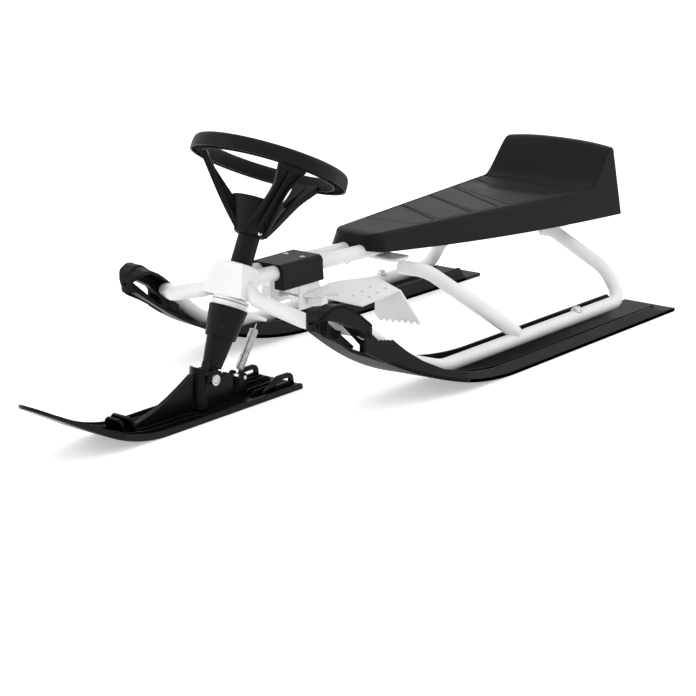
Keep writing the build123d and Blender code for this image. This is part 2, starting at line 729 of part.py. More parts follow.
def ski_block():
    """Cheeks, front spine, cleats and rear fins that stand on the ski."""
    outer_y = cheek_gap / 2 + cheek_thickness
    top = ski_thickness - ski_recess
    cheek = [(854, top), (854, 44), (868, 50), (pivot_x - 14, pivot_z), (pivot_x + 14, pivot_z),
             (pivot_x + 26, top)]
    cheek_face = make_face(Polyline(*cheek, cheek[0]))
    eye = Pos(pivot_x, pivot_z) * Circle(cheek_top_radius)
    cheek_face = cheek_face + eye
    space = make_face(Polyline((840, top), (840, 90), (940, 90), (940, top), (840, top)))
    cheeks = prism_y(cheek_face, -outer_y, outer_y) - prism_y(space, -cheek_gap / 2, cheek_gap / 2)
    guard = prism_z(Circle(21), top, 66) - prism_z(Circle(17), top, 70)
    guard = Rot(0, -9, 0) * guard
    keep = Pos(25, 0, 0) * prism_z(Rectangle(40, 60), 0, 80)
    guard = Pos(pivot_x + 14, 0, 0) * (guard & keep)
    spine = make_face(Polyline((pivot_x + 34, top), (pivot_x + 34, 58), (pivot_x + 153, 24),
                               (pivot_x + 165, top), (pivot_x + 34, top)))
    spine = prism_y(spine, -6, 6)
    block = cheeks + guard + spine
    for x in (pivot_x + 161, pivot_x + 179):
        cleat = Pos(x, 0, 0) * Rot(0, 14, 0) * prism_z(Rectangle(5, 48), 0, 44)
        block = block + cleat
    for side in (-1, 1):
        fin = make_face(Polyline((742, top), (748, 24), (790, 24), (822, top), (742, top)))
        slot = Pos(770, 17) * SlotOverall(28, 6)
        block = block + prism_y(fin - slot, side * 34 - 2.5, side * 34 + 2.5)
    return block


def front_ski():
    body = prism_y(ski_side(0, ski_thickness, ski_rear_x, ski_tip_x), -100, 100)
    body = body & prism_z(ski_plan(0), -1, 200)
    recess = ski_side(ski_thickness - ski_recess, ski_thickness + 30, ski_rear_x, ski_tip_x - 60)
    recess = prism_y(recess, -100, 100)
    recess = recess & prism_z(ski_plan(ski_rim), -1, 200)
    below = prism_y(ski_side(-50, 0.5, ski_rear_x - 50, ski_tip_x), -100, 100)
    body = body - recess + (ski_block() - below)
    tray = ski_thickness - ski_recess
    lug = make_face(Polyline((822, tray), (822, 40), (836, 40), (856, tray), (822, tray)))
    body = body + prism_y(lug, -13, -7) + prism_y(lug, 7, 13)
    hole = Pos(pivot_x, 0, pivot_z) * Rot(90, 0, 0) * Cylinder(pivot_bolt_diameter / 2, 80)
    pin_hole = Pos(829, 0, 33) * Rot(90, 0, 0) * Cylinder(3, 60)
    return body - hole - pin_hole


def pivot_bolt():
    length = cheek_gap + 2 * cheek_thickness
    shank = Pos(pivot_x, 0, pivot_z) * Rot(90, 0, 0) * Cylinder(pivot_bolt_diameter / 2, length)
    head = Pos(pivot_x, length / 2 + 2.5, pivot_z) * Rot(90, 0, 0) * Cylinder(8, 5)
    nut = Pos(pivot_x, -length / 2 - 2.5, pivot_z) * Rot(90, 0, 0) * Cylinder(8, 5)
    return shank + head + nut


def spring_pin():
    return Pos(829, 0, 33) * Rot(90, 0, 0) * Cylinder(3, 30)


def return_spring():
    """Closed outer shape of the coil spring, from its pin up to its plate."""
    plane = steering_plane(cone_top_depth + 6)
    upper = plane.from_local_coords(Vector(-71, 0, 0))
    lower = Vector(829, 0, 40)
    path = Line(lower, upper)
    return rod_along(path, 5)


# ---------------------------------------------------------------- export
def export(name, piece):
    moved = Pos(-middle_x, 0, 0) * piece
    export_step(moved, f"parts/{name}.step")


os.makedirs("parts", exist_ok=True)
left_runner = runner()
export("runner_left", left_runner)
export("runner_right", mirrored(left_runner))
left_tube = side_tube()
export("side_tube_left", left_tube)
export("side_tube_right", mirrored(left_tube))
left_brace = brace()
export("brace_left", left_brace)
export("brace_right", mirrored(left_brace))
left_top = top_tube()
export("top_tube_left", left_top)
export("top_tube_right", mirrored(left_top))
export("crossbar_front", crossbar(front_bar_x, front_bar_half_width))
export("crossbar_rear", crossbar(rear_bar_x, rear_bar_half_width))
export("head_tube", head_tube())
export("head_bracket", head_bracket())
export("seat", seat())
export("cover", cover())
export("brake_hanger", brake_hanger())
export("brake_rod", brake_rod())
export("brake_pad_left", brake_pad(1))
export("brake_pad_right", brake_pad(-1))
export("steering_wheel", steering_wheel())
export("column_sleeve", column_sleeve())
export("steering_shaft", steering_shaft())
export("steering_cone", steering_cone())
export("spring_bracket", spring_bracket())
export("fork_end", fork_end())
export("front_ski", front_ski())
export("pivot_bolt", pivot_bolt())
export("spring_pin", spring_pin())
export("return_spring", return_spring())
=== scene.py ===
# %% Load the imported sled
import json
import math

import bmesh
import bpy
import numpy as np
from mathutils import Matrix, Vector


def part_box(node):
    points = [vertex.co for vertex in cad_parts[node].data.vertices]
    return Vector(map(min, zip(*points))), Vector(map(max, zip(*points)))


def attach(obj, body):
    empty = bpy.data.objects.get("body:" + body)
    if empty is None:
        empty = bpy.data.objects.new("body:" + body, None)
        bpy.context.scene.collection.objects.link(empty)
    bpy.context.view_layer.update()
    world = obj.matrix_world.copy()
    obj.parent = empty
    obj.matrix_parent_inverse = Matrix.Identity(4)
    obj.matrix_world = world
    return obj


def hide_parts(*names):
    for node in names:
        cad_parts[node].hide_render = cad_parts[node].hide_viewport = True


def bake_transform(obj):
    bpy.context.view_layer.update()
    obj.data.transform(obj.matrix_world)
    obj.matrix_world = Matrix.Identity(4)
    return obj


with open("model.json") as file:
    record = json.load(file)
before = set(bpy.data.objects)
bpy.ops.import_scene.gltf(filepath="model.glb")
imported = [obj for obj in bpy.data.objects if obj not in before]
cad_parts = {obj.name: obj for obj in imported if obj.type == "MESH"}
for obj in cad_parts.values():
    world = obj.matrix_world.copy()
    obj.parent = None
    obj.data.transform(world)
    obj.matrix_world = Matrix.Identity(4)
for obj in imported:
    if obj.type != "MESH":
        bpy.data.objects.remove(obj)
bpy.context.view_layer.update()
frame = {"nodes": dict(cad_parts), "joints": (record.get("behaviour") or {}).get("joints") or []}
nodes = frame["nodes"]
print("nodes in the frame:", len(nodes))

# %% [markdown]
# The camera comes first, because every finish is judged through it. The sled
# is seen from its left front corner and a little from above. A long lens a few
# metres away keeps the runners nearly parallel, as a catalogue view has them.
# Its direction is worked out from two angles, so that it is easy to turn.

# %% Camera
VIEW_AZIMUTH = math.radians(38.59)
VIEW_HEIGHT = math.radians(15.79)
VIEW_PLACE = (2.33355, 1.89236, 0.87598)
LENS_MM = 105.45
SENSOR_MM = 36
view_from = Vector((math.cos(VIEW_HEIGHT) * math.cos(VIEW_AZIMUTH),
                    math.cos(VIEW_HEIGHT) * math.sin(VIEW_AZIMUTH),
                    math.sin(VIEW_HEIGHT)))
camera_data = bpy.data.cameras.new("view")
camera_data.lens = LENS_MM
camera_data.sensor_width = SENSOR_MM
camera = bpy.data.objects.new("view", camera_data)
camera.location = VIEW_PLACE
camera.rotation_euler = (-view_from).to_track_quat("-Z", "Y").to_euler()
bpy.context.collection.objects.link(camera)
bpy.context.scene.camera = camera
print("camera at", tuple(round(v, 3) for v in camera.location))

# %% [markdown]
# A white sweep with soft light all round shows a white frame and black plastic
# at once. One could light it with a single lamp, but then the black pieces
# would lose their edges. So the world is an even white, and three broad area
# lights give the plastic its long, soft reflections.

# %% Light and floor
scene = bpy.context.scene
scene.view_settings.view_transform = "Standard"
world = bpy.data.worlds.new("studio")
world.use_nodes = True
sky = world.node_tree.nodes["Background"].inputs
sky["Color"].default_value = (1, 1, 1, 1)
sky["Strength"].default_value = 1.02
scene.world = world


def soft_light(name, place, target, size, power):
    """A square area light at place that faces target."""
    data = bpy.data.lights.new(name, "AREA")
    data.energy = power
    data.size = size
    lamp = bpy.data.objects.new(name, data)
    lamp.location = place
    lamp.rotation_euler = (Vector(target) - Vector(place)).to_track_quat("-Z", "Y").to_euler()
    bpy.context.collection.objects.link(lamp)


soft_light("overhead", (0.2, 0.3, 2.6), (0, 0, 0.1), size=2.0, power=5)
soft_light("front_side", (2.2, -1.6, 1.6), (0.1, 0, 0.15), size=1.2, power=11)
soft_light("rear_side", (-1.8, 1.6, 1.5), (0, 0, 0.15), size=1.2, power=5)
FLOOR_HALF = 12
floor_corners = [(x * FLOOR_HALF, y * FLOOR_HALF, 0)
                 for x, y in ((-1, -1), (1, -1), (1, 1), (-1, 1))]
floor_mesh = bpy.data.meshes.new("floor")
floor_mesh.from_pydata(floor_corners, [], [(0, 1, 2, 3)])
floor = bpy.data.objects.new("floor", floor_mesh)
bpy.context.collection.objects.link(floor)

# %% [markdown]
# Shader maths gets long when every node is placed by hand. The small Wire class
# wraps one output socket, so that ordinary arithmetic on it adds the Math
# nodes. Finish holds a material and adds any other node by its type.

# %% Shader helpers
OBJECT_COORDINATES = 3   # an output of Texture Coordinate
FIRST_COLOUR, SECOND_COLOUR = 6, 7   # inputs of Mix
MIXED_COLOUR = 2   # an output of Mix


class Wire:
    """One output socket of a finish, on which plain arithmetic works."""

    def __init__(self, finish, socket):
        self.finish = finish
        self.socket = socket

    def math(self, operation, first, second):
        """A Math node on two values or wires."""
        return self.finish.add("ShaderNodeMath", {"operation": operation}, {0: first, 1: second})

    def __add__(self, other):
        return self.math("ADD", self, other)

    __radd__ = __add__

    def __sub__(self, other):
        return self.math("SUBTRACT", self, other)

    def __rsub__(self, other):
        return self.math("SUBTRACT", other, self)

    def __mul__(self, other):
        return self.math("MULTIPLY", self, other)

    __rmul__ = __mul__

    def above(self, low, high):
        """0 up to low, 1 from high on, and a smooth step between."""
        return self.finish.add("ShaderNodeMapRange", {"interpolation_type": "SMOOTHSTEP"},
                               {0: self, 1: low, 2: high})


class Finish:
    """A material whose nodes are added by their type."""

    def __init__(self, name, colour, roughness, metallic=0.0):
        self.material = bpy.data.materials.new(name)
        self.material.use_nodes = True
        self.tree = self.material.node_tree
        self.surface = self.tree.nodes["Principled BSDF"].inputs
        self.colour = (*colour, 1)
        self.surface["Base Color"].default_value = self.colour
        self.surface["Roughness"].default_value = roughness
        self.surface["Metallic"].default_value = metallic
        self.place = self.add("ShaderNodeTexCoord", output=OBJECT_COORDINATES)

    def feed(self, socket, value):
        """Links a wire to a socket, or sets the socket to a plain value."""
        if isinstance(value, Wire):
            self.tree.links.new(value.socket, socket)
        else:
            socket.default_value = value

    def add(self, kind, settings=(), sockets=(), output=0):
        """Any node: its type, its settings, and the values or wires of its sockets."""
        node = self.tree.nodes.new(kind)
        for key, value in dict(settings).items():
            setattr(node, key, value)
        for key, value in dict(sockets).items():
            self.feed(node.inputs[key], value)
        return Wire(self, node.outputs[output])

    def noise(self, scale, detail=3.0, stretch=(1, 1, 1)):
        """Noise on object coordinates, scale in cells a metre."""
        spread = self.add("ShaderNodeVectorMath", {"operation": "MULTIPLY"},
                          {0: self.place, 1: stretch})
        return self.add("ShaderNodeTexNoise", {},
                        {"Vector": spread, "Scale": scale, "Detail": detail})

    def mix(self, share, first, second):
        """From the first colour at share 0 to the second at share 1."""
        return self.add("ShaderNodeMix", {"data_type": "RGBA"},
                        {0: share, FIRST_COLOUR: first, SECOND_COLOUR: second}, MIXED_COLOUR)

    def paint(self, share, second, roughness):
        """The base colour mixed towards a second one by share, and a varying roughness."""
        mixed = self.mix(share, self.colour, (*second, 1))
        self.feed(self.surface["Base Color"], mixed)
        self.feed(self.surface["Roughness"], roughness)

    def bump(self, height, strength, distance, edge):
        """Fine relief, over edges that look rounded by the radius edge."""
        rounded = self.add("ShaderNodeBevel", {"samples": 6}, {"Radius": edge})
        relief = self.add("ShaderNodeBump", {}, {"Height": height, "Strength": strength,
                                                 "Distance": distance, "Normal": rounded})
        self.feed(self.surface["Normal"], relief)


print("shader helpers ready")

# %% [markdown]
# The runners and the ski are polyethylene: nearly black, with the soft sheen
# and the fine lengthwise scuffs that a slide leaves. A single dark colour would
# look like paint, so a stretched noise scuffs it along the sled, and a second
# one moves the gloss in patches.

# %% Moulded plastics
PLASTIC_SPECULAR = 0.11


def moulded_plastic(name, colour, scuffed, roughness, grain, grain_depth, scuff_share):
    """Black plastic: patches in gloss, scuffs along x, and a fine moulded grain."""
    finish = Finish(name, colour, roughness)
    patches = finish.noise(9, detail=4)
    scuffs = finish.noise(70, detail=5, stretch=(0.12, 1, 1)).above(0.58, 0.8)
    finish.paint(scuffs * scuff_share, scuffed, roughness + (patches - 0.5) * 0.22 + scuffs * 0.06)
    finish.bump(finish.noise(grain, detail=2) + scuffs * 0.4, strength=0.35,
                distance=grain_depth, edge=0.002)
    finish.surface["Specular IOR Level"].default_value = PLASTIC_SPECULAR
    return finish.material


runner_plastic = moulded_plastic(
    "runner_plastic", colour=(0.0052, 0.0052, 0.0054), scuffed=(0.02, 0.02, 0.0205),
    roughness=0.46, grain=900, grain_depth=0.00012, scuff_share=0.5)
ski_plastic = moulded_plastic(
    "ski_plastic", colour=(0.003, 0.003, 0.0032), scuffed=(0.016, 0.016, 0.0165),
    roughness=0.3, grain=500, grain_depth=0.00006, scuff_share=0.4)
trim_plastic = moulded_plastic(
    "trim_plastic", colour=(0.0055, 0.0055, 0.0057), scuffed=(0.02, 0.02, 0.0205),
    roughness=0.46, grain=1100, grain_depth=0.0001, scuff_share=0.35)
print("plastics:", [m.name for m in (runner_plastic, ski_plastic, trim_plastic)])

# %% [markdown]
# The frame is steel tube and sheet under white powder coat. Powder flows a
# little before it sets, so it has a shallow orange-peel skin instead of a
# perfect gloss, and it is a touch thinner and duller in places.

# %% Powder coat
def powder_coat(name):
    """White paint with orange peel two millimetres across and faint warm shade."""
    finish = Finish(name, (0.76, 0.76, 0.757), 0.34)
    shade = finish.noise(14, detail=3).above(0.35, 0.75)
    finish.paint(shade, (0.71, 0.71, 0.705), 0.3 + finish.noise(40, detail=2) * 0.12)
    finish.bump(finish.noise(420, detail=1), strength=0.25, distance=0.00015, edge=0.0012)
    return finish.material


frame_paint = powder_coat("frame_paint")
print("paint:", frame_paint.name)

# %% [markdown]
# Screws, the pivot bolt and the spring are zinc plated. Plating is bright but
# never mirror smooth, so a stretched noise brushes it and greys it in patches.

# %% Zinc plate
def zinc_plate(name):
    """Bright metal with fine brushing and slightly duller patches."""
    finish = Finish(name, (0.66, 0.66, 0.65), 0.3, 1.0)
    dull = finish.noise(160, detail=3).above(0.4, 0.8)
    finish.paint(dull, (0.42, 0.42, 0.41), 0.24 + dull * 0.2)
    finish.bump(finish.noise(1500, detail=2, stretch=(1, 1, 0.1)), strength=0.3,
                distance=0.00003, edge=0.0005)
    return finish.material


zinc_steel = zinc_plate("zinc_steel")
print("plating:", zinc_steel.name)

# %% [markdown]
# The seat is blow-moulded in a charcoal plastic with a leather-like grain.
# A Voronoi pattern gives the small pebbles, and noise fades them here and there.

# %% Seat plastic
def pebbled_plastic(name):
    """Charcoal plastic: Voronoi pebbles under a millimetre, patches in gloss."""
    finish = Finish(name, (0.0058, 0.0058, 0.0061), 0.55)
    pebbles = finish.add("ShaderNodeTexVoronoi", {"feature": "SMOOTH_F1"},
                         {"Vector": finish.place, "Scale": 1300})
    patches = finish.noise(7, detail=3)
    finish.paint(patches.above(0.3, 0.75), (0.0080, 0.0080, 0.0084), 0.46 + (patches - 0.5) * 0.16)
    finish.bump(pebbles * (0.6 + 0.4 * patches), strength=0.4, distance=0.00014, edge=0.001)
    finish.surface["Specular IOR Level"].default_value = PLASTIC_SPECULAR
    return finish.material


seat_plastic = pebbled_plastic("seat_plastic")
print("seat plastic:", seat_plastic.name)

# %% [markdown]
# The pale floor is there to catch a faint shadow. It glows a little, as a lit
# backdrop does, so the shadow stays faint and the white runs on to the edges
# of the view. Plain white would do, but a little noise in its roughness keeps
# its sheen from being perfectly even.

# %% Floor finish
def pale_floor(name):
    """Matte white with barely visible patches."""
    finish = Finish(name, (0.93, 0.93, 0.93), 0.9)
    finish.feed(finish.surface["Roughness"], 0.85 + finish.noise(3, detail=2) * 0.1)
    finish.surface["Emission Color"].default_value = (1, 1, 1, 1)
    finish.surface["Emission Strength"].default_value = 0.4
    return finish.material


floor.data.materials.append(pale_floor("pale_floor"))
print("floor finished")

# %% [markdown]
# Every piece that comes straight from the CAD model keeps its shape and gets
# the finish of its material slot, found from how its name starts. Blender can add a number to a
# material's name where that name is taken, so a slot is looked up, not read off.

# %% Dress the CAD nodes
SLOT_FINISHES = dict(
    runner_plastic=runner_plastic, frame_paint=frame_paint, seat_plastic=seat_plastic,
    trim_plastic=trim_plastic, ski_plastic=ski_plastic, zinc_steel=zinc_steel)
NODE_STARTS = {
    "frame_paint": ("side_tube", "brace", "top_tube", "crossbar", "head_tube", "head_bracket",
                    "brake_hanger", "brake_pad", "spring_bracket"),
    "zinc_steel": ("brake_rod", "steering_shaft", "pivot_bolt", "spring_pin", "return_spring"),
    "runner_plastic": ("runner",), "seat_plastic": ("seat",), "ski_plastic": ("front_ski",)}


def slot_of(node):
    """The material slot of a CAD node, from how its name starts."""
    slots = (slot for slot, starts in NODE_STARTS.items() if node.startswith(starts))
    return next(slots, "trim_plastic")


for name, node in nodes.items():
    node.data.materials.clear()
    node.data.materials.append(SLOT_FINISHES[slot_of(name)])
print("dressed:", sorted(nodes))

# %% [markdown]
# All new pieces are surfaces on a grid of two parameters. The grid is one numpy
# array of points, and its faces follow from the array's shape alone. They could
# be drawn face by face, but a grid keeps a piece's shape in one formula.

# %% Surface helpers
def grid_faces(rows, columns, wrap_rows=False, wrap_columns=False):
    """Quads between neighbouring grid points, joined round where a side wraps."""
    index = np.arange(rows * columns).reshape(rows, columns)
    if wrap_rows:
        index = np.vstack((index, index[:1]))
    if wrap_columns:
        index = np.hstack((index, index[:, :1]))
    quads = np.stack((index[:-1, :-1], index[1:, :-1], index[1:, 1:], index[:-1, 1:]), -1)
    return quads.reshape(-1, 4).tolist()


def end_faces(rows, columns):
    """One face over the first row and one over the last, for a closed profile."""
    index = np.arange(rows * columns).reshape(rows, columns)
    return [index[0].tolist(), index[-1][::-1].tolist()]


def joined(shapes):
    """Several (points, faces) shapes as one."""
    starts = np.cumsum([0] + [len(points) for points, _ in shapes])
    faces = [[start + i for i in face]
             for (_, some), start in zip(shapes, starts) for face in some]
    return np.vstack([points for points, _ in shapes]), faces


def piece(name, shape, finish, body, sharp):
    """An object from (points, faces): normals outward, soft shading below the sharp angle.

    It rides on body. A piece that joins two bodies rides on neither and has body None.
    """
    points, faces = shape
    mesh = bpy.data.meshes.new(name)
    mesh.from_pydata(points.tolist(), [], faces)
    work = bmesh.new()
    work.from_mesh(mesh)
    bmesh.ops.remove_doubles(work, verts=work.verts, dist=1e-6)
    bmesh.ops.recalc_face_normals(work, faces=work.faces)
    work.to_mesh(mesh)
    work.free()
    mesh.shade_smooth()
    mesh.set_sharp_from_angle(angle=math.radians(sharp))
    mesh.materials.append(finish)
    obj = bpy.data.objects.new(name, mesh)
    bpy.context.collection.objects.link(obj)
    if body:
        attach(obj, body)
    print(name, "has", len(mesh.polygons), "faces")
    return obj


def smooth_step(t):
    """0 below 0, 1 above 1, and 3t^2 - 2t^3 between."""
    t = np.clip(t, 0, 1)
    return t * t * (3 - 2 * t)


print("surface helpers ready")

# %% [markdown]
# Many of the new pieces are turned, swept or cut from plate on the real sled.
# So three small makers give those forms: a profile turned round an axis, closed
# sections set along a path, and a flat outline with a thickness. Each takes its
# place from a frame of axes, which is four vectors: an origin and three axes.

# %% Makers
X_AXIS, Y_AXIS, Z_AXIS = np.eye(3)
EDGE_ANGLE = math.radians(35)


def unit(vectors):
    """The same directions, each one metre long."""
    return vectors / np.linalg.norm(vectors, axis=-1, keepdims=True)


def closed_strip(points):
    """Faces round every row of points and between the rows, closed at both ends."""
    rows, columns = points.shape[:2]
    faces = grid_faces(rows, columns, False, True) + end_faces(rows, columns)
    return points.reshape(-1, 3), faces


def turned(profile, axes, steps, ring=False):
    """Point = origin + r cos(a) X + r sin(a) Y + h Z, for each (r, h) and each turn a."""
    origin, x_axis, y_axis, z_axis = axes
    profile = np.asarray(profile, float)
    angle = np.linspace(0, 2 * np.pi, steps, endpoint=False)[:, None, None]
    spoke = np.cos(angle) * x_axis + np.sin(angle) * y_axis
    points = origin + profile[None, :, :1] * spoke + profile[None, :, 1:] * z_axis
    return points.reshape(-1, 3), grid_faces(steps, len(profile), True, ring)


def swept(path, sections, across, up):
    """Point = path + u across + v up, for each closed section of (u, v) along the path."""
    across, up = (np.broadcast_to(axis, path.shape)[:, None] for axis in (across, up))
    return closed_strip(path[:, None] + sections[..., :1] * across + sections[..., 1:] * up)


def slab(outline, thickness, axes):
    """The outline in X and Y, from half the thickness below to half above along Z."""
    origin, x_axis, y_axis, z_axis = axes
    flat = np.asarray(outline, float)
    base = origin + flat[:, :1] * x_axis + flat[:, 1:] * y_axis
    half = z_axis * thickness / 2
    return closed_strip(np.stack((base - half, base + half)))


def round_bar(path, radius, sides):
    """A bar round a path: circles of (cos, sin) on two directions square to its tangent."""
    along = unit(np.gradient(path, axis=0))
    across = unit(np.cross(along, Z_AXIS))
    up = np.cross(across, along)
    angle = np.linspace(0, 2 * np.pi, sides, endpoint=False)
    circle = np.stack((np.cos(angle), np.sin(angle)), -1) * radius
    return swept(path, np.broadcast_to(circle, (len(path), sides, 2)), across, up)


def rounded_edges(obj, width, segments=2):
    """A bevel on the edges that turn by more than EDGE_ANGLE."""
    bevel = obj.modifiers.new("edges", "BEVEL")
    bevel.width = width
    bevel.segments = segments
    bevel.limit_method = "ANGLE"
    bevel.angle_limit = EDGE_ANGLE
    bevel.harden_normals = True


joints = {joint["name"]: joint for joint in frame["joints"]}
PIVOT = np.array(joints["ski_pitch"]["pos_m"])
print("joints:", sorted(joints))

# %% [markdown]
# The seat is one hollow moulding: a long tapered pad with four sunk panels
# outlined by seams, that rises into a low backrest with a dished foot. It could
# be sculpted by hand, but here its height is a sum of plain terms: the edge
# height, the backrest's ramp, the dish and the panels.

# %% Seat measures
seat_low, seat_high = np.array(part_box("seat"))
SEAT_FRONT = seat_high[0]
SEAT_REAR = seat_low[0]
SEAT_TOP = 0.201
FRONT_HALF = 0.050
REAR_HALF = seat_high[1]
BACK_TOP = seat_high[2]
TAIL = SEAT_REAR + 0.020
FRONT_CORNER = 0.022
REAR_CORNER = 0.006
SEAM_DEPTH = 0.0017
# Each panel: its front edge ahead of TAIL and how that edge slants, then its rear edge.
PANELS = ((0.464, -0.12, 0.391, 0.53), (0.383, 0.47, 0.303, 0.51),
          (0.296, 0.46, 0.231, 0.57), (0.213, 0.45, 0.108, 0.10))


def seat_half(x):
    """Half width at the lower edge: a straight taper from rear to front."""
    return FRONT_HALF + seat_share(x) * (REAR_HALF - FRONT_HALF)


def seat_share(x):
    """0 at the seat's front and 1 at its rear."""
    return (SEAT_FRONT - x) / (SEAT_FRONT - SEAT_REAR)


def corner_inset(x):
    """How far an edge lies inside near the two ends: quarter circles in plan."""
    front = np.clip(1 - (SEAT_FRONT - x) / FRONT_CORNER, 0, 1)
    rear = np.clip(1 - (x - SEAT_REAR) / REAR_CORNER, 0, 1)
    front_inset = FRONT_CORNER * (1 - np.sqrt(1 - front * front))
    return front_inset + REAR_CORNER * (1 - np.sqrt(1 - rear * rear))


print("seat:", (SEAT_FRONT - SEAT_REAR).round(3), "long,", (2 * REAR_HALF).round(3), "wide")

# %% [markdown]
# The backrest is a hollow slope, so its height is read off a few places along
# the seat. A seam is a narrow bell curve along each panel's outline, which has
# soft shoulders at once, where a cut seam would need them shaped afterwards.

# %% Seat top
def backrest_rise(x):
    """Share of the backrest's height: a hollow slope from the rear edge down to the pad."""
    run = np.array((0.0, 0.014, 0.0235, 0.0365, 0.0495, 0.061, 0.074, 0.092, 0.12))
    share = np.array((1.0, 0.985, 0.84, 0.57, 0.3, 0.1, 0.0, 0.0, 0.0))
    return np.interp(x - SEAT_REAR, run, share)


def bowed_rise(x, around):
    """The slope with its foot bowed ahead in the middle, softened, and arched to the sides."""
    reach = x + 0.013 * (1 - around ** 2) * (1 - backrest_rise(x))
    soft = np.linspace(-0.004, 0.004, 5)
    steep = backrest_rise(reach[..., None] + soft).mean(-1)
    arch = 1 - 0.095 * np.abs(around) ** 2.5
    return (BACK_TOP - SEAT_TOP) * steep * arch


def seat_dish(x, middle):
    """How far the top is sunk: a shallow dish before the backrest, and a crease at its foot."""
    along = np.clip((x - TAIL - 0.035) / 0.125, 0, 1)
    dish = 0.009 * np.sin(np.pi * along) ** 2 * (1 - np.abs(middle) ** 3)
    crease = (x - TAIL - 0.062 + 0.012 * (1 - middle ** 2)) / 0.005
    return dish + 0.0035 * np.exp(-crease ** 2)


def panel_relief(x, y, half):
    """Depth of the seams, 1 along each panel's outline, and 0.4 over the panel itself."""
    depth = np.zeros(np.broadcast(x, y).shape)
    for front, front_slant, rear, rear_slant in PANELS:
        front_x = TAIL + front + front_slant * y
        rear_x = TAIL + rear + rear_slant * y
        across = np.minimum(front_x - x, x - rear_x) * 0.9
        side = np.minimum(half - 0.013 - y, half - 0.004 + y)
        outline = np.minimum(across, side)
        depth = np.maximum(depth, np.exp(-(outline / 0.0012) ** 2))
        depth = np.maximum(depth, 0.4 * smooth_step(outline / 0.004))
    return depth


print("panels on the seat:", len(PANELS))

# %% [markdown]
# Each cross-section of the skin has the same number of points: up a side, round
# the edge, over the top, and down again. So the sections make one grid, and a
# face at each end closes the seat.

# %% Seat
SEAT_STATIONS = 440
SIDE_COLUMNS = 13
TURN_COLUMNS = 8
MIDDLE_COLUMNS = 148
EDGE_COLUMNS = SIDE_COLUMNS + TURN_COLUMNS


def seat_stations():
    """Places along the seat, evenly spaced, and closer together round the corners."""
    even = np.linspace(SEAT_REAR, SEAT_FRONT, SEAT_STATIONS)
    near = 1 - np.cos(np.linspace(0, np.pi / 2, 10))
    ends = (SEAT_REAR + REAR_CORNER * near, SEAT_FRONT - FRONT_CORNER * near)
    return np.unique(np.concatenate((even, *ends)))[:, None]


def seat_surface():
    """The seat's skin on a grid: x along it, and round each section from edge to edge."""
    x = seat_stations()
    middle = np.linspace(1, -1, MIDDLE_COLUMNS + 2)[None, 1:-1]
    edge = np.ones((1, EDGE_COLUMNS))
    rise_all = bowed_rise(x, np.hstack((edge, middle, -edge)))
    rise = rise_all[:, :1]
    pull = corner_inset(x)
    low = 0.149 + 0.025 * (1 - seat_share(x)) ** 2
    half_low = seat_half(x) - pull
    half_top = half_low - 0.008 - 0.012 * rise / (BACK_TOP - SEAT_TOP)
    edge_round = 0.0075 - 0.0015 * rise / (BACK_TOP - SEAT_TOP)
    top = SEAT_TOP + rise - 0.25 * pull
    climb = np.linspace(0, 1, SIDE_COLUMNS + 1)[None, :-1]
    side_z = low + climb * (top - edge_round - low)
    side_y = half_low + climb * (half_top - half_low)
    turn = np.linspace(0, np.pi / 2, TURN_COLUMNS)[None, :]
    turn_z = top - edge_round + edge_round * np.sin(turn)
    turn_y = half_top - edge_round + edge_round * np.cos(turn)
    middle_y = middle * (half_top - edge_round)
    middle_top = SEAT_TOP + rise_all[:, EDGE_COLUMNS:-EDGE_COLUMNS] - 0.25 * pull
    seams = SEAM_DEPTH * panel_relief(x, middle_y, half_top)
    middle_z = middle_top - seat_dish(x, middle) - seams
    y = np.hstack((side_y, turn_y, middle_y, -turn_y[:, ::-1], -side_y[:, ::-1]))
    z = np.hstack((side_z, turn_z, middle_z, turn_z[:, ::-1], side_z[:, ::-1]))
    points = np.stack((np.broadcast_to(x, y.shape), y, z), -1)
    rows, columns = y.shape
    return points.reshape(-1, 3), grid_faces(rows, columns) + end_faces(rows, columns)


seat_skin = piece("seat_skin", seat_surface(), seat_plastic, "frame", 40)
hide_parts("seat")

# %% [markdown]
# Each side runner is one black moulding: a thin sliding face that sweeps up at
# the front, a wall along each side, and a loop at the nose with pockets, a web
# and small ribs inside it. All of them are strips along the runner, so each one
# is given by where its two edges run and by its lower and upper side. Places
# along the runner are called s, in metres from its tail.

# %% Runner measures
runner_low, runner_high = np.array(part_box("runner_left"))
TAIL_X = runner_low[0]
INNER_Y = runner_low[1]
EDGE_ROOM = 0.0002   # keeps the bevelled edges inside the solid's sides
OUTER_Y = runner_high[1] - EDGE_ROOM
FLAT_END = 0.470
INNER_SWEEP = 0.640
OUTER_SWEEP = 0.565
SKIN = 0.0055
TIP_ROUND = 0.020
TIP_S = runner_high[0] - TAIL_X
TURN_S = TIP_S - TIP_ROUND


def under(s, y):
    """Height of the sliding face: two circular sweeps, and a straight line across."""
    reach = np.clip(s - FLAT_END, 0, TIP_S - 0.010 - FLAT_END)
    inner = EDGE_ROOM + INNER_SWEEP - np.sqrt(INNER_SWEEP ** 2 - reach ** 2)
    outer = EDGE_ROOM + OUTER_SWEEP - np.sqrt(OUTER_SWEEP ** 2 - reach ** 2)
    bank = 1 - 0.75 * smooth_step((s - 0.815) / 0.05)
    return inner + bank * (outer - inner) * (y - INNER_Y) / (OUTER_Y - INNER_Y)


def round_tip(s):
    """How far an edge is drawn in at the tip: a quarter circle in plan."""
    past = np.clip((s - TURN_S) / TIP_ROUND, 0, 1)
    return TIP_ROUND * (1 - np.sqrt(1 - past ** 2))


print("runner:", TIP_S.round(3), "long,", (OUTER_Y - INNER_Y).round(3), "wide")

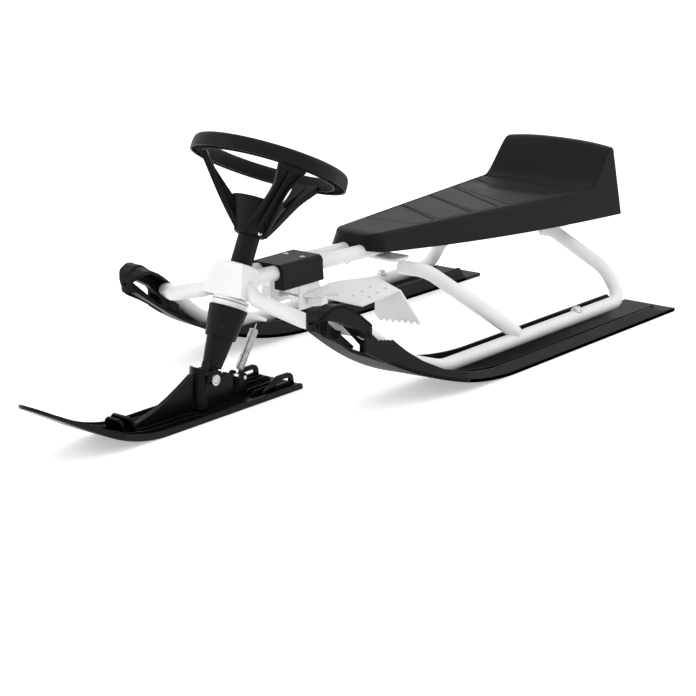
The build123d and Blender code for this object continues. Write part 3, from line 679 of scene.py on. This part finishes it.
# %% [markdown]
# Seen from above, the runner's edges are straight and draw together at the nose.
# Seen from the side, the loop bows up and over. Both are lines through a few
# measured places, which is how a maker lofts such a form.

# %% Runner edges
TEETH_FROM, TEETH_TO = 0.741, 0.769
TOOTH = 0.007


def outer_edge(s):
    """Straight, then drawn in towards the nose, with the tip's rounding."""
    across = np.interp(s, (0, 0.6, 0.785, TURN_S, TIP_S), (OUTER_Y, OUTER_Y, 0.212, 0.199, 0.199))
    return across - round_tip(s)


def skin_outer_edge(s):
    """The sliding face narrows to its inner half under the loop, which opens the pockets."""
    return outer_edge(s) - np.interp(s, (0.750, 0.795, TURN_S, TIP_S), (0, 0.0275, 0.016, 0.002))


def skin_inner_edge(s):
    """The sliding face's inner edge: straight, then out towards the middle of the nose."""
    return np.interp(s, (0, 0.7, TURN_S, TIP_S), (INNER_Y, INNER_Y, 0.159, 0.159)) + round_tip(s)


def bar_inner_edge(s):
    """The inner edge of the loop's bar, which widens ahead until it meets the skin's."""
    return np.interp(s, (0.78, TURN_S, TIP_S), (0.172, 0.159, 0.159)) + round_tip(s)


def crown(s, y):
    """Upper side of the loop's bar: a smooth bow, higher at the outer edge."""
    bow = np.interp(s, (0.780, 0.786, 0.803, 0.817, 0.834, 0.852, 0.866, 0.873, TIP_S),
                    (0.132, 0.138, 0.1485, 0.1565, 0.1635, 0.1655, 0.1620, 0.1560, 0.147))
    lift = 0.022 * np.clip((s - 0.786) / 0.06, 0, 1) * (y - INNER_Y) / (OUTER_Y - INNER_Y)
    lift = lift * (1 - 0.45 * smooth_step((s - 0.830) / 0.047))
    return bow + lift


def bar_under(s):
    """Lower side of the loop's bar: a bow like the upper one, from a lower start."""
    return np.interp(s, (0.780, 0.793, 0.801, 0.829, 0.847, 0.866, TIP_S),
                     (0.110, 0.120, 0.129, 0.143, 0.151, 0.156, 0.154))


def wall_top(s):
    """Upper edge of the outer wall, with the grip's four teeth before the loop."""
    top = np.interp(s, (0, 0.04, 0.078, 0.54, 0.58, 0.62, 0.65, 0.69, 0.72,
                        TEETH_FROM, TEETH_TO, 0.786, 0.795),
                    (0.006, 0.009, 0.022, 0.022, 0.0275, 0.036, 0.046, 0.066, 0.086,
                     0.103, 0.108, 0.124, 0.131))
    saw = 0.003 * (1 - np.abs(((s - TEETH_FROM) / TOOTH) % 1 * 2 - 1))
    return top + np.where((s > TEETH_FROM) & (s < TEETH_TO), saw, 0)


print("loop's highest place:", crown(np.array(0.852), OUTER_Y).round(4))

# %% [markdown]
# Four corners at each place along the runner make a strip: a floor, a wall or a
# bar. Walls could be thickened sheets, but with four corners of its own each
# edge of a wall runs where it should.

# %% Runner strips
def strip(s, inner, outer, low, high):
    """Four corners at each s: inner and outer at their low heights, then at their high ones."""
    x = TAIL_X + s
    corners = [(inner, low[0]), (outer, low[1]), (outer, high[1]), (inner, high[0])]
    return closed_strip(np.stack([
        np.stack((x, np.broadcast_to(y, s.shape), np.broadcast_to(z, s.shape)), -1)
        for y, z in corners], 1))


def level_strip(s, inner, outer, low, high):
    """A strip that is level across, so its two edges share their heights."""
    return strip(s, inner, outer, (low, low), (high, high))


def tip_stations():
    """Places round the tip, closer together towards its end."""
    return TURN_S + TIP_ROUND * np.sin(np.linspace(0, np.pi / 2 * 0.985, 14))


def floor_shape():
    """The sliding face, from its underside to its upper side."""
    s = np.unique(np.concatenate((np.linspace(0, TURN_S, 150), tip_stations())))
    inner = skin_inner_edge(s)
    outer = np.maximum(skin_outer_edge(s), inner + 0.002)
    low = (under(s, inner), under(s, outer))
    return strip(s, inner, outer, low, (low[0] + SKIN, low[1] + SKIN))


def outer_wall_shape():
    """The outer wall up to its toothed edge, with a station at each tooth's tip and root."""
    teeth_s = np.arange(0.7410, 0.7692, TOOTH / 2)
    s = np.concatenate((np.linspace(0, 0.74, 120), teeth_s, np.linspace(0.772, 0.795, 8)))
    outer = outer_edge(s)
    return level_strip(s, outer - 0.004, outer, under(s, outer), wall_top(s))


def inner_wall_shape():
    """The low inner wall, which rises at the tail and fades out before the nose."""
    s = np.linspace(0.045, 0.70, 100)
    fade = smooth_step((s - 0.045) / 0.02) * smooth_step((0.70 - s) / 0.10)
    low = under(s, INNER_Y)
    return level_strip(s, INNER_Y, INNER_Y + 0.004, low, low + 0.006 + 0.021 * fade)


def ridge_shape():
    """The lengthwise ridge in the trough, which drifts inward with the upsweep."""
    s = np.linspace(0.035, 0.66, 90)
    y = 0.2255 - 0.010 * smooth_step((s - 0.50) / 0.2)
    low = under(s, y)
    return level_strip(s, y - 0.0018, y + 0.0018, low, low + 0.015)


print("strips have", len(tip_stations()), "places round the tip")

# %% [markdown]
# The loop is one bar with a top and a hanging outer side, and a cap closes it
# at the tip. The web and the ribs in its pockets are thin plates, which leave
# the long opening of the web free. Cross ribs stiffen the trough behind.

# %% Runner loop
WEB_Y = 0.187
WEB_THICKNESS = 0.0025
RIB_THICKNESS = 0.0022
UPPER_WEB = [(0.752, 0.080), (0.768, 0.088), (0.775, 0.097), (0.822, 0.141), (0.839, 0.149),
             (0.845, 0.156), (0.822, 0.152), (0.791, 0.136), (0.770, 0.116), (0.752, 0.100)]
LOWER_WEB = [(0.795, 0.103), (0.798, 0.098), (0.813, 0.104), (0.835, 0.117), (0.861, 0.130),
             (0.872, 0.138), (0.872, 0.160), (0.852, 0.160), (0.858, 0.154)]
# Each rib in the pockets: its s, its foot and its top.
POCKET_RIBS = ((0.776, 0.088, 0.116), (0.796, 0.118, 0.134), (0.822, 0.139, 0.152),
               (0.838, 0.122, 0.136), (0.861, 0.131, 0.158))


def bar_shapes():
    """The top of the loop's bar, and its outer side down to the bar's lower edge."""
    s = np.unique(np.concatenate((np.linspace(0.784, TURN_S, 40), tip_stations())))
    inner, outer = bar_inner_edge(s), outer_edge(s)
    crown_in, crown_out = crown(s, inner), crown(s, outer)
    top = strip(s, inner, outer, (crown_in - 0.005, crown_out - 0.005), (crown_in, crown_out))
    side_inner = np.minimum(outer - 0.005, outer - 0.5 * (outer - inner))
    return [top, level_strip(s, side_inner, outer, bar_under(s), crown_out - 0.001)]


def cap_shape():
    """The front end of the loop, from the sliding face up to the crown."""
    s = TURN_S + TIP_ROUND * np.sin(np.linspace(0.75, np.pi / 2 * 0.975, 12))
    inner = bar_inner_edge(s)
    outer = np.maximum(np.minimum(0.185, outer_edge(s) - 0.001), inner + 0.0005)
    return level_strip(s, inner, outer, under(s, inner) + 0.002, crown(s, inner) - 0.003)


def cross_plate(s, outline):
    """A rib square to the runner, its outline in (y, z)."""
    return slab(outline, RIB_THICKNESS, (np.array((TAIL_X + s, 0, 0)), Y_AXIS, Z_AXIS, X_AXIS))


def loop_plates():
    """The web's two parts, the ribs in its pockets and the cross ribs in the trough."""
    upright = (np.array((TAIL_X, WEB_Y, 0)), X_AXIS, Z_AXIS, Y_AXIS)
    plates = [slab(web, WEB_THICKNESS, upright) for web in (UPPER_WEB, LOWER_WEB)]
    for s, foot, top in POCKET_RIBS:
        outer = float(outer_edge(np.array(s))) - 0.003
        plates.append(cross_plate(s, [(0.184, foot), (outer, foot + 0.002), (outer, top),
                                      (0.184, top)]))
    trough = [(0.226, 0.004), (0.246, 0.004), (0.246, 0.012), (0.226, 0.012)]
    return plates + [cross_plate(s, trough) for s in np.arange(0.075, 0.46, 0.075)]


print("ribs in the pockets:", len(POCKET_RIBS))

# %% [markdown]
# The right runner is the left one turned over the sled's middle. That turns
# its faces inside out, and piece points them outward again.

# %% Runners
def mirrored(shape):
    """The same shape on the other side of the sled."""
    points, faces = shape
    return points * (1, -1, 1), faces


left_shell = joined([floor_shape(), outer_wall_shape(), inner_wall_shape(), ridge_shape(),
                     *bar_shapes(), cap_shape()])
left_ribs = joined(loop_plates())
for side, shell, ribs in (("left", left_shell, left_ribs),
                          ("right", mirrored(left_shell), mirrored(left_ribs))):
    runner_shell = piece("runner_shell_" + side, shell, runner_plastic, "frame", 30)
    rounded_edges(runner_shell, 0.0014)
    runner_ribs = piece("runner_ribs_" + side, ribs, runner_plastic, "frame", 30)
    rounded_edges(runner_ribs, 0.0004, 1)
    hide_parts("runner_" + side)

# %% [markdown]
# The steering wheel is one moulding too. Its rim is an open channel from below,
# stiffened by small ribs, and three sloping channels run down to a funnel hub.
# A torus would miss the channel, so the rim is a closed profile turned round
# the steering axis, and each spoke is a channel section swept down to the hub.

# %% Steering wheel's axes
steering = joints["steering"]
wheel_middle = np.array(steering["pos_m"])
wheel_up = unit(np.array(steering["axis"]))
wheel_forward = np.cross(Y_AXIS, wheel_up)
wheel_axes = (wheel_middle, wheel_forward, Y_AXIS, wheel_up)
RIM_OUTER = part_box("steering_wheel")[1][1]
RIM_WIDTH = 0.019
RIM_INNER = RIM_OUTER - RIM_WIDTH
RIM_HALF = 0.011
RIM_WALL = 0.0026
RIM_TOP_WALL = 0.003
HUB_TOP = -0.057
HUB_LOW = -0.109
SPOKES = np.radians((60, 180, 300))


def outward(turn):
    """A direction in the wheel's plane, turned from forward towards the left."""
    return np.cos(turn) * wheel_forward + np.sin(turn) * Y_AXIS


def radial_plate(outline, thickness, turn):
    """A plate that holds the steering axis, its outline in (radius, height)."""
    out = outward(turn)
    return slab(outline, thickness, (wheel_middle, out, wheel_up, np.cross(wheel_up, out)))


print("wheel's radius:", round(RIM_OUTER, 4))

# %% [markdown]
# The rim is turned first. Its top is a superellipse, flatter than a circle and
# rounder than a bevelled edge, as a moulded grip is.

# %% Wheel rim
def rim_profile():
    """A rounded top from a superellipse, then back along the inside of the channel."""
    turn = np.linspace(0, np.pi, 17)
    middle = RIM_OUTER - RIM_WIDTH / 2
    bulge = np.sign(np.cos(turn)) * np.abs(np.cos(turn)) ** 0.7
    dome = np.sin(turn) ** 0.55
    outer = np.stack((middle + RIM_WIDTH / 2 * bulge, -RIM_HALF + 2 * RIM_HALF * dome), -1)
    inner = np.stack((middle + (RIM_WIDTH / 2 - RIM_WALL) * bulge,
                      -RIM_HALF + (2 * RIM_HALF - RIM_TOP_WALL) * dome), -1)
    return np.vstack((outer, inner[::-1]))


wheel_rim = piece("wheel_rim", turned(rim_profile(), wheel_axes, 160, True), trim_plastic,
                  "steering", 50)
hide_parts("steering_wheel")

# %% [markdown]
# A spoke is wide at the hub, narrow on its way and wider again at the rim. An
# extrusion would have one width, so its section is worked out at each place.

# %% Wheel spokes
SPOKE_FOOT = 0.0185
SPOKE_LIP = 0.0028
SPOKE_BACK = 0.0088
SPOKE_DEPTH = 0.0065


def spoke_shape(turn):
    """A channel along the line from the hub's foot to the rim, narrow in its middle."""
    share = np.linspace(0, 1, 40)
    out = outward(turn)
    side = np.cross(wheel_up, out)
    radius = SPOKE_FOOT + share * (RIM_INNER + 0.0035 - SPOKE_FOOT)
    height = -0.1075 + share * 0.0985 - 0.004 * np.sin(np.pi * share)
    path = wheel_middle + radius[:, None] * out + height[:, None] * wheel_up
    waist = 0.0165 - 0.0045 * smooth_step(share / 0.6)
    half = waist + 0.0095 * smooth_step((share - 0.62) / 0.38) ** 1.5
    closing = 1 - 0.75 * smooth_step((share - 0.84) / 0.14)
    deep = SPOKE_DEPTH * smooth_step(share / 0.12) * closing
    back = np.full_like(half, SPOKE_BACK)
    lip = np.zeros_like(half)
    u = np.stack((-half, -half + SPOKE_LIP, -half + 1.5 * SPOKE_LIP, half - 1.5 * SPOKE_LIP,
                  half - SPOKE_LIP, half, half, -half), -1)
    v = np.stack((lip, lip, deep, deep, lip, lip, back, back), -1)
    normal = np.cross(unit(np.gradient(path, axis=0)), side)
    raised = normal * np.sign(normal @ wheel_up)[:, None]
    return swept(path, np.stack((u, v), -1), side, raised)


wheel_spokes = piece("wheel_spokes", joined([spoke_shape(turn) for turn in SPOKES]),
                     trim_plastic, "steering", 30)
rounded_edges(wheel_spokes, 0.0007)

# %% [markdown]
# An upright web fills the corner between each spoke and the hub. The hub is a
# funnel, wide at its rounded top lip and narrow at the column. A plate and a
# turned profile are enough, because neither form changes on its way.

# %% Wheel webs and hub
WEB_OUTLINE = [(0.021, -0.104), (0.060, -0.060), (0.096, -0.013), (0.094, -0.006),
               (0.086, -0.012), (0.078, -0.024), (0.060, -0.040), (0.040, HUB_TOP),
               (0.030, -0.064), (0.021, -0.080)]
HUB_PROFILE = [(0.0212, HUB_LOW), (0.0240, HUB_LOW + 0.003), (0.0272, -0.092),
               (0.0315, -0.078), (0.0362, -0.064), (0.0388, HUB_TOP - 0.003),
               (0.0394, HUB_TOP - 0.0006), (0.0384, HUB_TOP), (0.036, HUB_TOP - 0.0015),
               (0.033, -0.064), (0.0275, -0.078), (0.021, -0.090), (0.0105, -0.095),
               (0.0105, HUB_LOW)]
piece("wheel_webs", joined([radial_plate(WEB_OUTLINE, 0.0045, turn) for turn in SPOKES]),
      trim_plastic, "steering", 30)
piece("wheel_hub", turned(HUB_PROFILE, wheel_axes, 72, True), trim_plastic, "steering", 35)

# %% [markdown]
# Thin radial plates close the rim's channel at even steps round it. One plate
# is turned to each place, and together they are one piece.

# %% Ribs in the rim
RIM_RIBS = 48
RIB_OUTLINE = [(RIM_INNER + 0.0015, -0.009), (RIM_OUTER - 0.0015, -0.009),
               (RIM_OUTER - 0.003, 0.006), (RIM_INNER + 0.003, 0.006)]
rib_turns = np.linspace(0, 2 * np.pi, RIM_RIBS, endpoint=False)
piece("rim_ribs", joined([radial_plate(RIB_OUTLINE, 0.0018, turn) for turn in rib_turns]),
      trim_plastic, "steering", 30)

# %% [markdown]
# The return spring pulls the ski's heel up against the column. It is wound from
# wire, so its skin is a bar swept round a helix whose two ends leave the coil
# for their hooks. It joins two bodies that turn against each other, and so it
# rides on neither of them.

# %% Return spring
SPRING_WIRE = 0.00085
SPRING_RADIUS = 0.0066
COIL_TURNS = 35
COIL_FROM, COIL_TO = 0.05, 0.90   # shares of the way from the lower hook to the upper
spring_low, spring_high = np.array(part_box("return_spring"))
spring_foot = np.array((spring_high[0] - 0.0045, 0, spring_low[2] + 0.001))
spring_head = np.array((spring_low[0] + 0.0055, 0, spring_high[2] - 0.003))


def coil_path():
    """A helix about the line between the hooks, which tapers to the line at both ends."""
    share = np.linspace(0, 1, 1500)
    line = spring_foot + share[:, None] * (spring_head - spring_foot)
    side = np.cross(unit(spring_head - spring_foot), Y_AXIS)
    inside = smooth_step((share - COIL_FROM) / 0.03) * smooth_step((COIL_TO - share) / 0.03)
    wound = np.clip((share - COIL_FROM) / (COIL_TO - COIL_FROM), 0, 1)
    turn = (2 * np.pi * COIL_TURNS * wound)[:, None]
    reach = ((SPRING_RADIUS - SPRING_WIRE) * inside)[:, None]
    return line + reach * (np.cos(turn) * side + np.sin(turn) * Y_AXIS)


spring_coil = piece("spring_coil", round_bar(coil_path(), SPRING_WIRE, 7), zinc_steel, None, 60)
print("spring from", spring_foot.round(3), "to", spring_head.round(3))
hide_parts("return_spring")
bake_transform(spring_coil)

# %% [markdown]
# Screws and bolts hold the runners, the cover and the hub. Their heads are
# turned profiles: a washer, then a domed head with a small flat. Ready-made
# spheres would show no washer and no driving recess.

# %% Fasteners
def head_profile(radius, height, washer):
    """From the washer's rim, up the head's side, over its dome and down into the recess."""
    turn = np.linspace(0, np.pi / 2, 8)
    dome_r = radius * (0.55 + 0.45 * np.cos(turn))
    dome_h = washer + height * (0.35 + 0.65 * np.sin(turn))
    base = [(radius, 0)]
    if washer:
        base = [(radius * 1.35, 0), (radius * 1.35, washer), (radius, washer)]
    recess_low = washer + height * 0.45
    recess = [(radius * 0.42, washer + height), (radius * 0.36, recess_low), (0, recess_low)]
    return np.vstack((base, np.stack((dome_r, dome_h), -1), recess))


def head_at(place, direction, radius, height, washer=0.0):
    """A screw head that stands on place and points along the direction, a unit vector."""
    side = unit(np.cross(direction, X_AXIS if abs(direction[0]) < 0.9 else Y_AXIS))
    axes = (np.array(place), side, np.cross(direction, side), direction)
    return turned(head_profile(radius, height, washer), axes, 28)


TUBE_TOP = 0.041
HUB_SCREW_TURN = math.radians(76)
cover_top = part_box("cover")[1][2]
bolt_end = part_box("pivot_bolt")[1][1]
hub_side = outward(HUB_SCREW_TURN)
runner_bolts = [head_at((-0.380, side * 0.198, TUBE_TOP - 0.0012), Z_AXIS, radius=0.0068,
                        height=0.0062, washer=0.0016) for side in (-1, 1)]
cover_screws = [head_at((0.090, side * 0.016, cover_top - 0.001), Z_AXIS, radius=0.0042,
                        height=0.0016) for side in (-1, 1)]
pivot_heads = [head_at((PIVOT[0], side * (bolt_end - 0.0005), PIVOT[2]), side * Y_AXIS,
                       radius=0.0048, height=0.0022, washer=0.0006) for side in (-1, 1)]
hub_head = head_at(wheel_middle - 0.1035 * wheel_up + 0.0215 * hub_side, hub_side,
                   radius=0.0042, height=0.003)
for name, heads, body in (("frame_bolts", runner_bolts, "frame"),
                          ("cover_heads", cover_screws, "frame"),
                          ("pivot_bolt_heads", pivot_heads, "ski"),
                          ("hub_screw", [hub_head], "steering")):
    piece(name, joined(heads), zinc_steel, body, 40)

# %% [markdown]
# The ski is one moulding: a thin tray that turns up at the tip, and a pivot block
# on it. The tray could be bent from a flat sheet, but its width and its raised
# edge change all along it, so it is a closed section worked out at each place.

# %% Ski tray
ski_low, ski_high = np.array(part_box("front_ski"))
SKI_REAR = ski_low[0]
SKI_TIP = ski_high[0]
SKI_HALF = ski_high[1]
SKI_FLAT_END = 0.410
SKI_RADIUS = 0.260
SKI_ANGLE = math.radians(28)
SKI_TIP_ROUND = 0.022
SKI_TIP_FROM = SKI_TIP - SKI_TIP_ROUND
SKI_REAR_ROUND = 0.008
TRAY_FLOOR = 0.0050
TRAY_RIM = 0.0045


def tray_height(x, offset):
    """Height over the floor of a line offset above the ski's underside."""
    radius = SKI_RADIUS - offset
    arc_end = radius * np.sin(SKI_ANGLE)
    reach = np.clip(x - SKI_FLAT_END, 0, arc_end)
    arc = SKI_RADIUS - np.sqrt(radius * radius - reach * reach)
    return arc + np.clip(x - SKI_FLAT_END - arc_end, 0, None) * np.tan(SKI_ANGLE)


def tray_half(x):
    """Half width: it narrows to a round tip, and its rear corners are rounded."""
    past = np.clip((x - SKI_TIP_FROM) / SKI_TIP_ROUND, 0, 1)
    rear = np.clip((SKI_REAR + SKI_REAR_ROUND - x) / SKI_REAR_ROUND, 0, 1)
    half = np.interp(x, (0.495, SKI_TIP_FROM), (SKI_HALF, 0.029))
    return half * np.sqrt(1 - past ** 2 * 0.98) - SKI_REAR_ROUND * (1 - np.sqrt(1 - rear ** 2))


def tray_shape():
    """A shallow channel along the ski, whose raised edges fade at both ends."""
    turn = np.linspace(0, np.pi / 2 * 0.97, 12)
    x = np.unique(np.concatenate((np.linspace(SKI_REAR, SKI_TIP_FROM, 150),
                                  SKI_REAR + SKI_REAR_ROUND * np.linspace(0, 1, 8) ** 2,
                                  SKI_TIP - SKI_TIP_ROUND * (1 - np.sin(turn)))))
    half = tray_half(x)
    fade = smooth_step((SKI_TIP - 0.020 - x) / 0.09)
    edge = TRAY_FLOOR + TRAY_RIM * smooth_step((x - SKI_REAR) / 0.01) * fade
    low, top, rim = tray_height(x, 0), tray_height(x, TRAY_FLOOR), tray_height(x, edge)
    lip = np.minimum(0.0035, half * 0.25)
    y = np.stack((-half + 0.001, half - 0.001, half, half - 0.0006, half - lip,
                  half - lip - 0.001, -half + lip + 0.001, -half + lip, -half + 0.0006, -half), 1)
    z = np.stack((low, low, low + 0.001, rim, rim, top, top, rim, rim, low + 0.001), 1)
    return closed_strip(np.stack((np.broadcast_to(x[:, None], y.shape), y, z), -1))


ski_tray = piece("ski_tray", tray_shape(), ski_plastic, "ski", 40)
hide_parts("front_ski")

# %% [markdown]
# The cheeks hold the pivot bolt. The guard is a half ring before the column's
# foot that leans and is cut at a slant, so it is set out from four arcs. A bent
# plate would keep its ends square.

# %% Ski guard and cheeks
BLOCK_FOOT = 0.004   # where the block's plates start, inside the tray's floor


def arc_points(middle, radius, start, end, count):
    """Points (x, z) of an arc, the angles in degrees from x towards z."""
    turn = np.radians(np.linspace(start, end, count))
    return [(middle[0] + radius * math.cos(t), middle[1] + radius * math.sin(t)) for t in turn]


def plate_at(outline, y, thickness):
    """An upright plate along the ski, its middle at y."""
    return slab(outline, thickness, (np.array((0, y, 0)), X_AXIS, Z_AXIS, Y_AXIS))


def leaning(degrees):
    """Upward, leaned ahead by some degrees."""
    lean = math.radians(degrees)
    return np.array((math.sin(lean), 0, math.cos(lean)))


def guard_shape():
    """The half ring of the guard: sections between two radii, set round a leaning axis."""
    share = np.linspace(-1, 1, 40)
    up = leaning(-9)
    ahead = np.array((up[2], 0, -up[0]))
    foot = np.array((PIVOT[0] + 0.014, 0, BLOCK_FOOT))
    corners = []
    for radius, height, reach in ((0.0178, 0, 72), (0.021, 0, 75),
                                  (0.021, 0.060, 42), (0.0178, 0.060, 27)):
        turn = np.radians(reach * share)[:, None]
        ring = radius * (np.cos(turn) * ahead + np.sin(turn) * Y_AXIS)
        corners.append(foot + ring + height * up)
    return closed_strip(np.stack(corners, 1))


def cheek_shape(side):
    """A cheek, round over the pivot bolt and stepped down behind it."""
    over_bolt = arc_points((PIVOT[0], PIVOT[2]), 0.0138, 5, 179, 18)
    outline = [(PIVOT[0] + 0.026, BLOCK_FOOT), *over_bolt, (PIVOT[0] - 0.027, 0.050),
               (PIVOT[0] - 0.041, 0.044), (PIVOT[0] - 0.041, BLOCK_FOOT)]
    return plate_at(outline, side * 0.011, 0.006)


print("pivot bolt at", PIVOT.round(3))

# %% [markdown]
# Plates make the rest of the block: a spine ahead of the guard, two cleats on
# the upsweep, and behind the pivot two fins and the lugs of the spring's pin.

# %% Ski spine, fins and block
def spine_shape():
    """The spine ahead of the guard, whose crest falls in a hollow line."""
    x = np.linspace(PIVOT[0] + 0.033, PIVOT[0] + 0.160, 20)
    share = (x - x[0]) / (x[-1] - x[0])
    crest = 0.058 - 0.046 * share - 0.007 * np.sin(np.pi * share)
    return plate_at([(x[0], BLOCK_FOOT), *zip(x, crest), (x[-1], BLOCK_FOOT)], 0, 0.009)


def cleat_shape(x, half):
    """A cleat across the upsweep, leaned ahead."""
    up = leaning(20)
    outline = [(-half, 0.006), (half, 0.006), (half, 0.029), (half - 0.005, 0.034),
               (-half + 0.005, 0.034), (-half, 0.029)]
    return slab(outline, 0.0045, (np.array((x, 0, 0)), Y_AXIS, up, np.cross(Y_AXIS, up)))


def fin_shapes(side):
    """A fin's low bar and the curved band over it, and a lug for the spring's pin."""
    bar = [(0.132, BLOCK_FOOT), (0.205, BLOCK_FOOT), (0.198, 0.0120), (0.182, 0.0145),
           (0.137, 0.0145)]
    band = [(0.136, 0.010), *arc_points((0.148, 0.0155), 0.012, 180, 95, 8),
            *arc_points((0.168, 0.0175), 0.010, 80, 35, 6), (0.192, 0.0150),
            (0.203, 0.0095), (0.180, 0.0095), (0.176, 0.0150), (0.168, 0.0205),
            (0.150, 0.0205), (0.144, 0.0180), (0.144, 0.010)]
    lug = [(0.212, BLOCK_FOOT), (0.212, 0.034), *arc_points((0.219, 0.033), 0.007, 170, 10, 9),
           (0.244, BLOCK_FOOT)]
    return [plate_at(bar, side * 0.034, 0.005), plate_at(band, side * 0.034, 0.005),
            plate_at(lug, side * 0.010, 0.005)]


block = [cheek_shape(-1), cheek_shape(1), guard_shape(), spine_shape(),
         cleat_shape(0.446, 0.021), cleat_shape(0.462, 0.016), *fin_shapes(-1), *fin_shapes(1)]
ski_block = piece("ski_block", joined(block), ski_plastic, "ski", 35)
rounded_edges(ski_block, 0.0008)

# %% [markdown]
# The ski's tray is stiffened by long ribs that follow its upsweep. Each rib is
# a thin wall from the tray's floor, with its top edge sloping away at the ends.

# %% Ski ribs
SKI_RIB_HALF = 0.0012


def ski_rib_shape(start, end, y_start, y_end, tall):
    """A wall along the tray, narrower at its top, whose height fades at its two ends."""
    share = np.linspace(0, 1, 60)
    x = start + share * (end - start)
    y = y_start + share * (y_end - y_start)
    path = np.stack((x, y, tray_height(x, 0.0045)), -1)
    top = 0.0005 + tall * smooth_step(share / 0.12) * smooth_step((1 - share) / 0.2)
    half = np.full_like(x, SKI_RIB_HALF)
    foot = np.zeros_like(x)
    u = np.stack((-half, half, half * 0.7, -half * 0.7), -1)
    v = np.stack((foot, foot, top, top), -1)
    return swept(path, np.stack((u, v), -1), Y_AXIS, Z_AXIS)


ski_ribs = [ski_rib_shape(0.315, 0.565, side * near, side * far, 0.0042)
            for side in (-1, 1) for near, far in ((0.014, 0.009), (0.030, 0.021))]
ski_ribs += [ski_rib_shape(0.130, 0.225, side * y, side * y, 0.008)
             for side in (-1, 1) for y in (0.012, 0.024)]
piece("ski_rib_walls", joined(ski_ribs), ski_plastic, "ski", 40)

# %% [markdown]
# The looks may not make the sled bigger.

# %% Finish
print("scene finished")
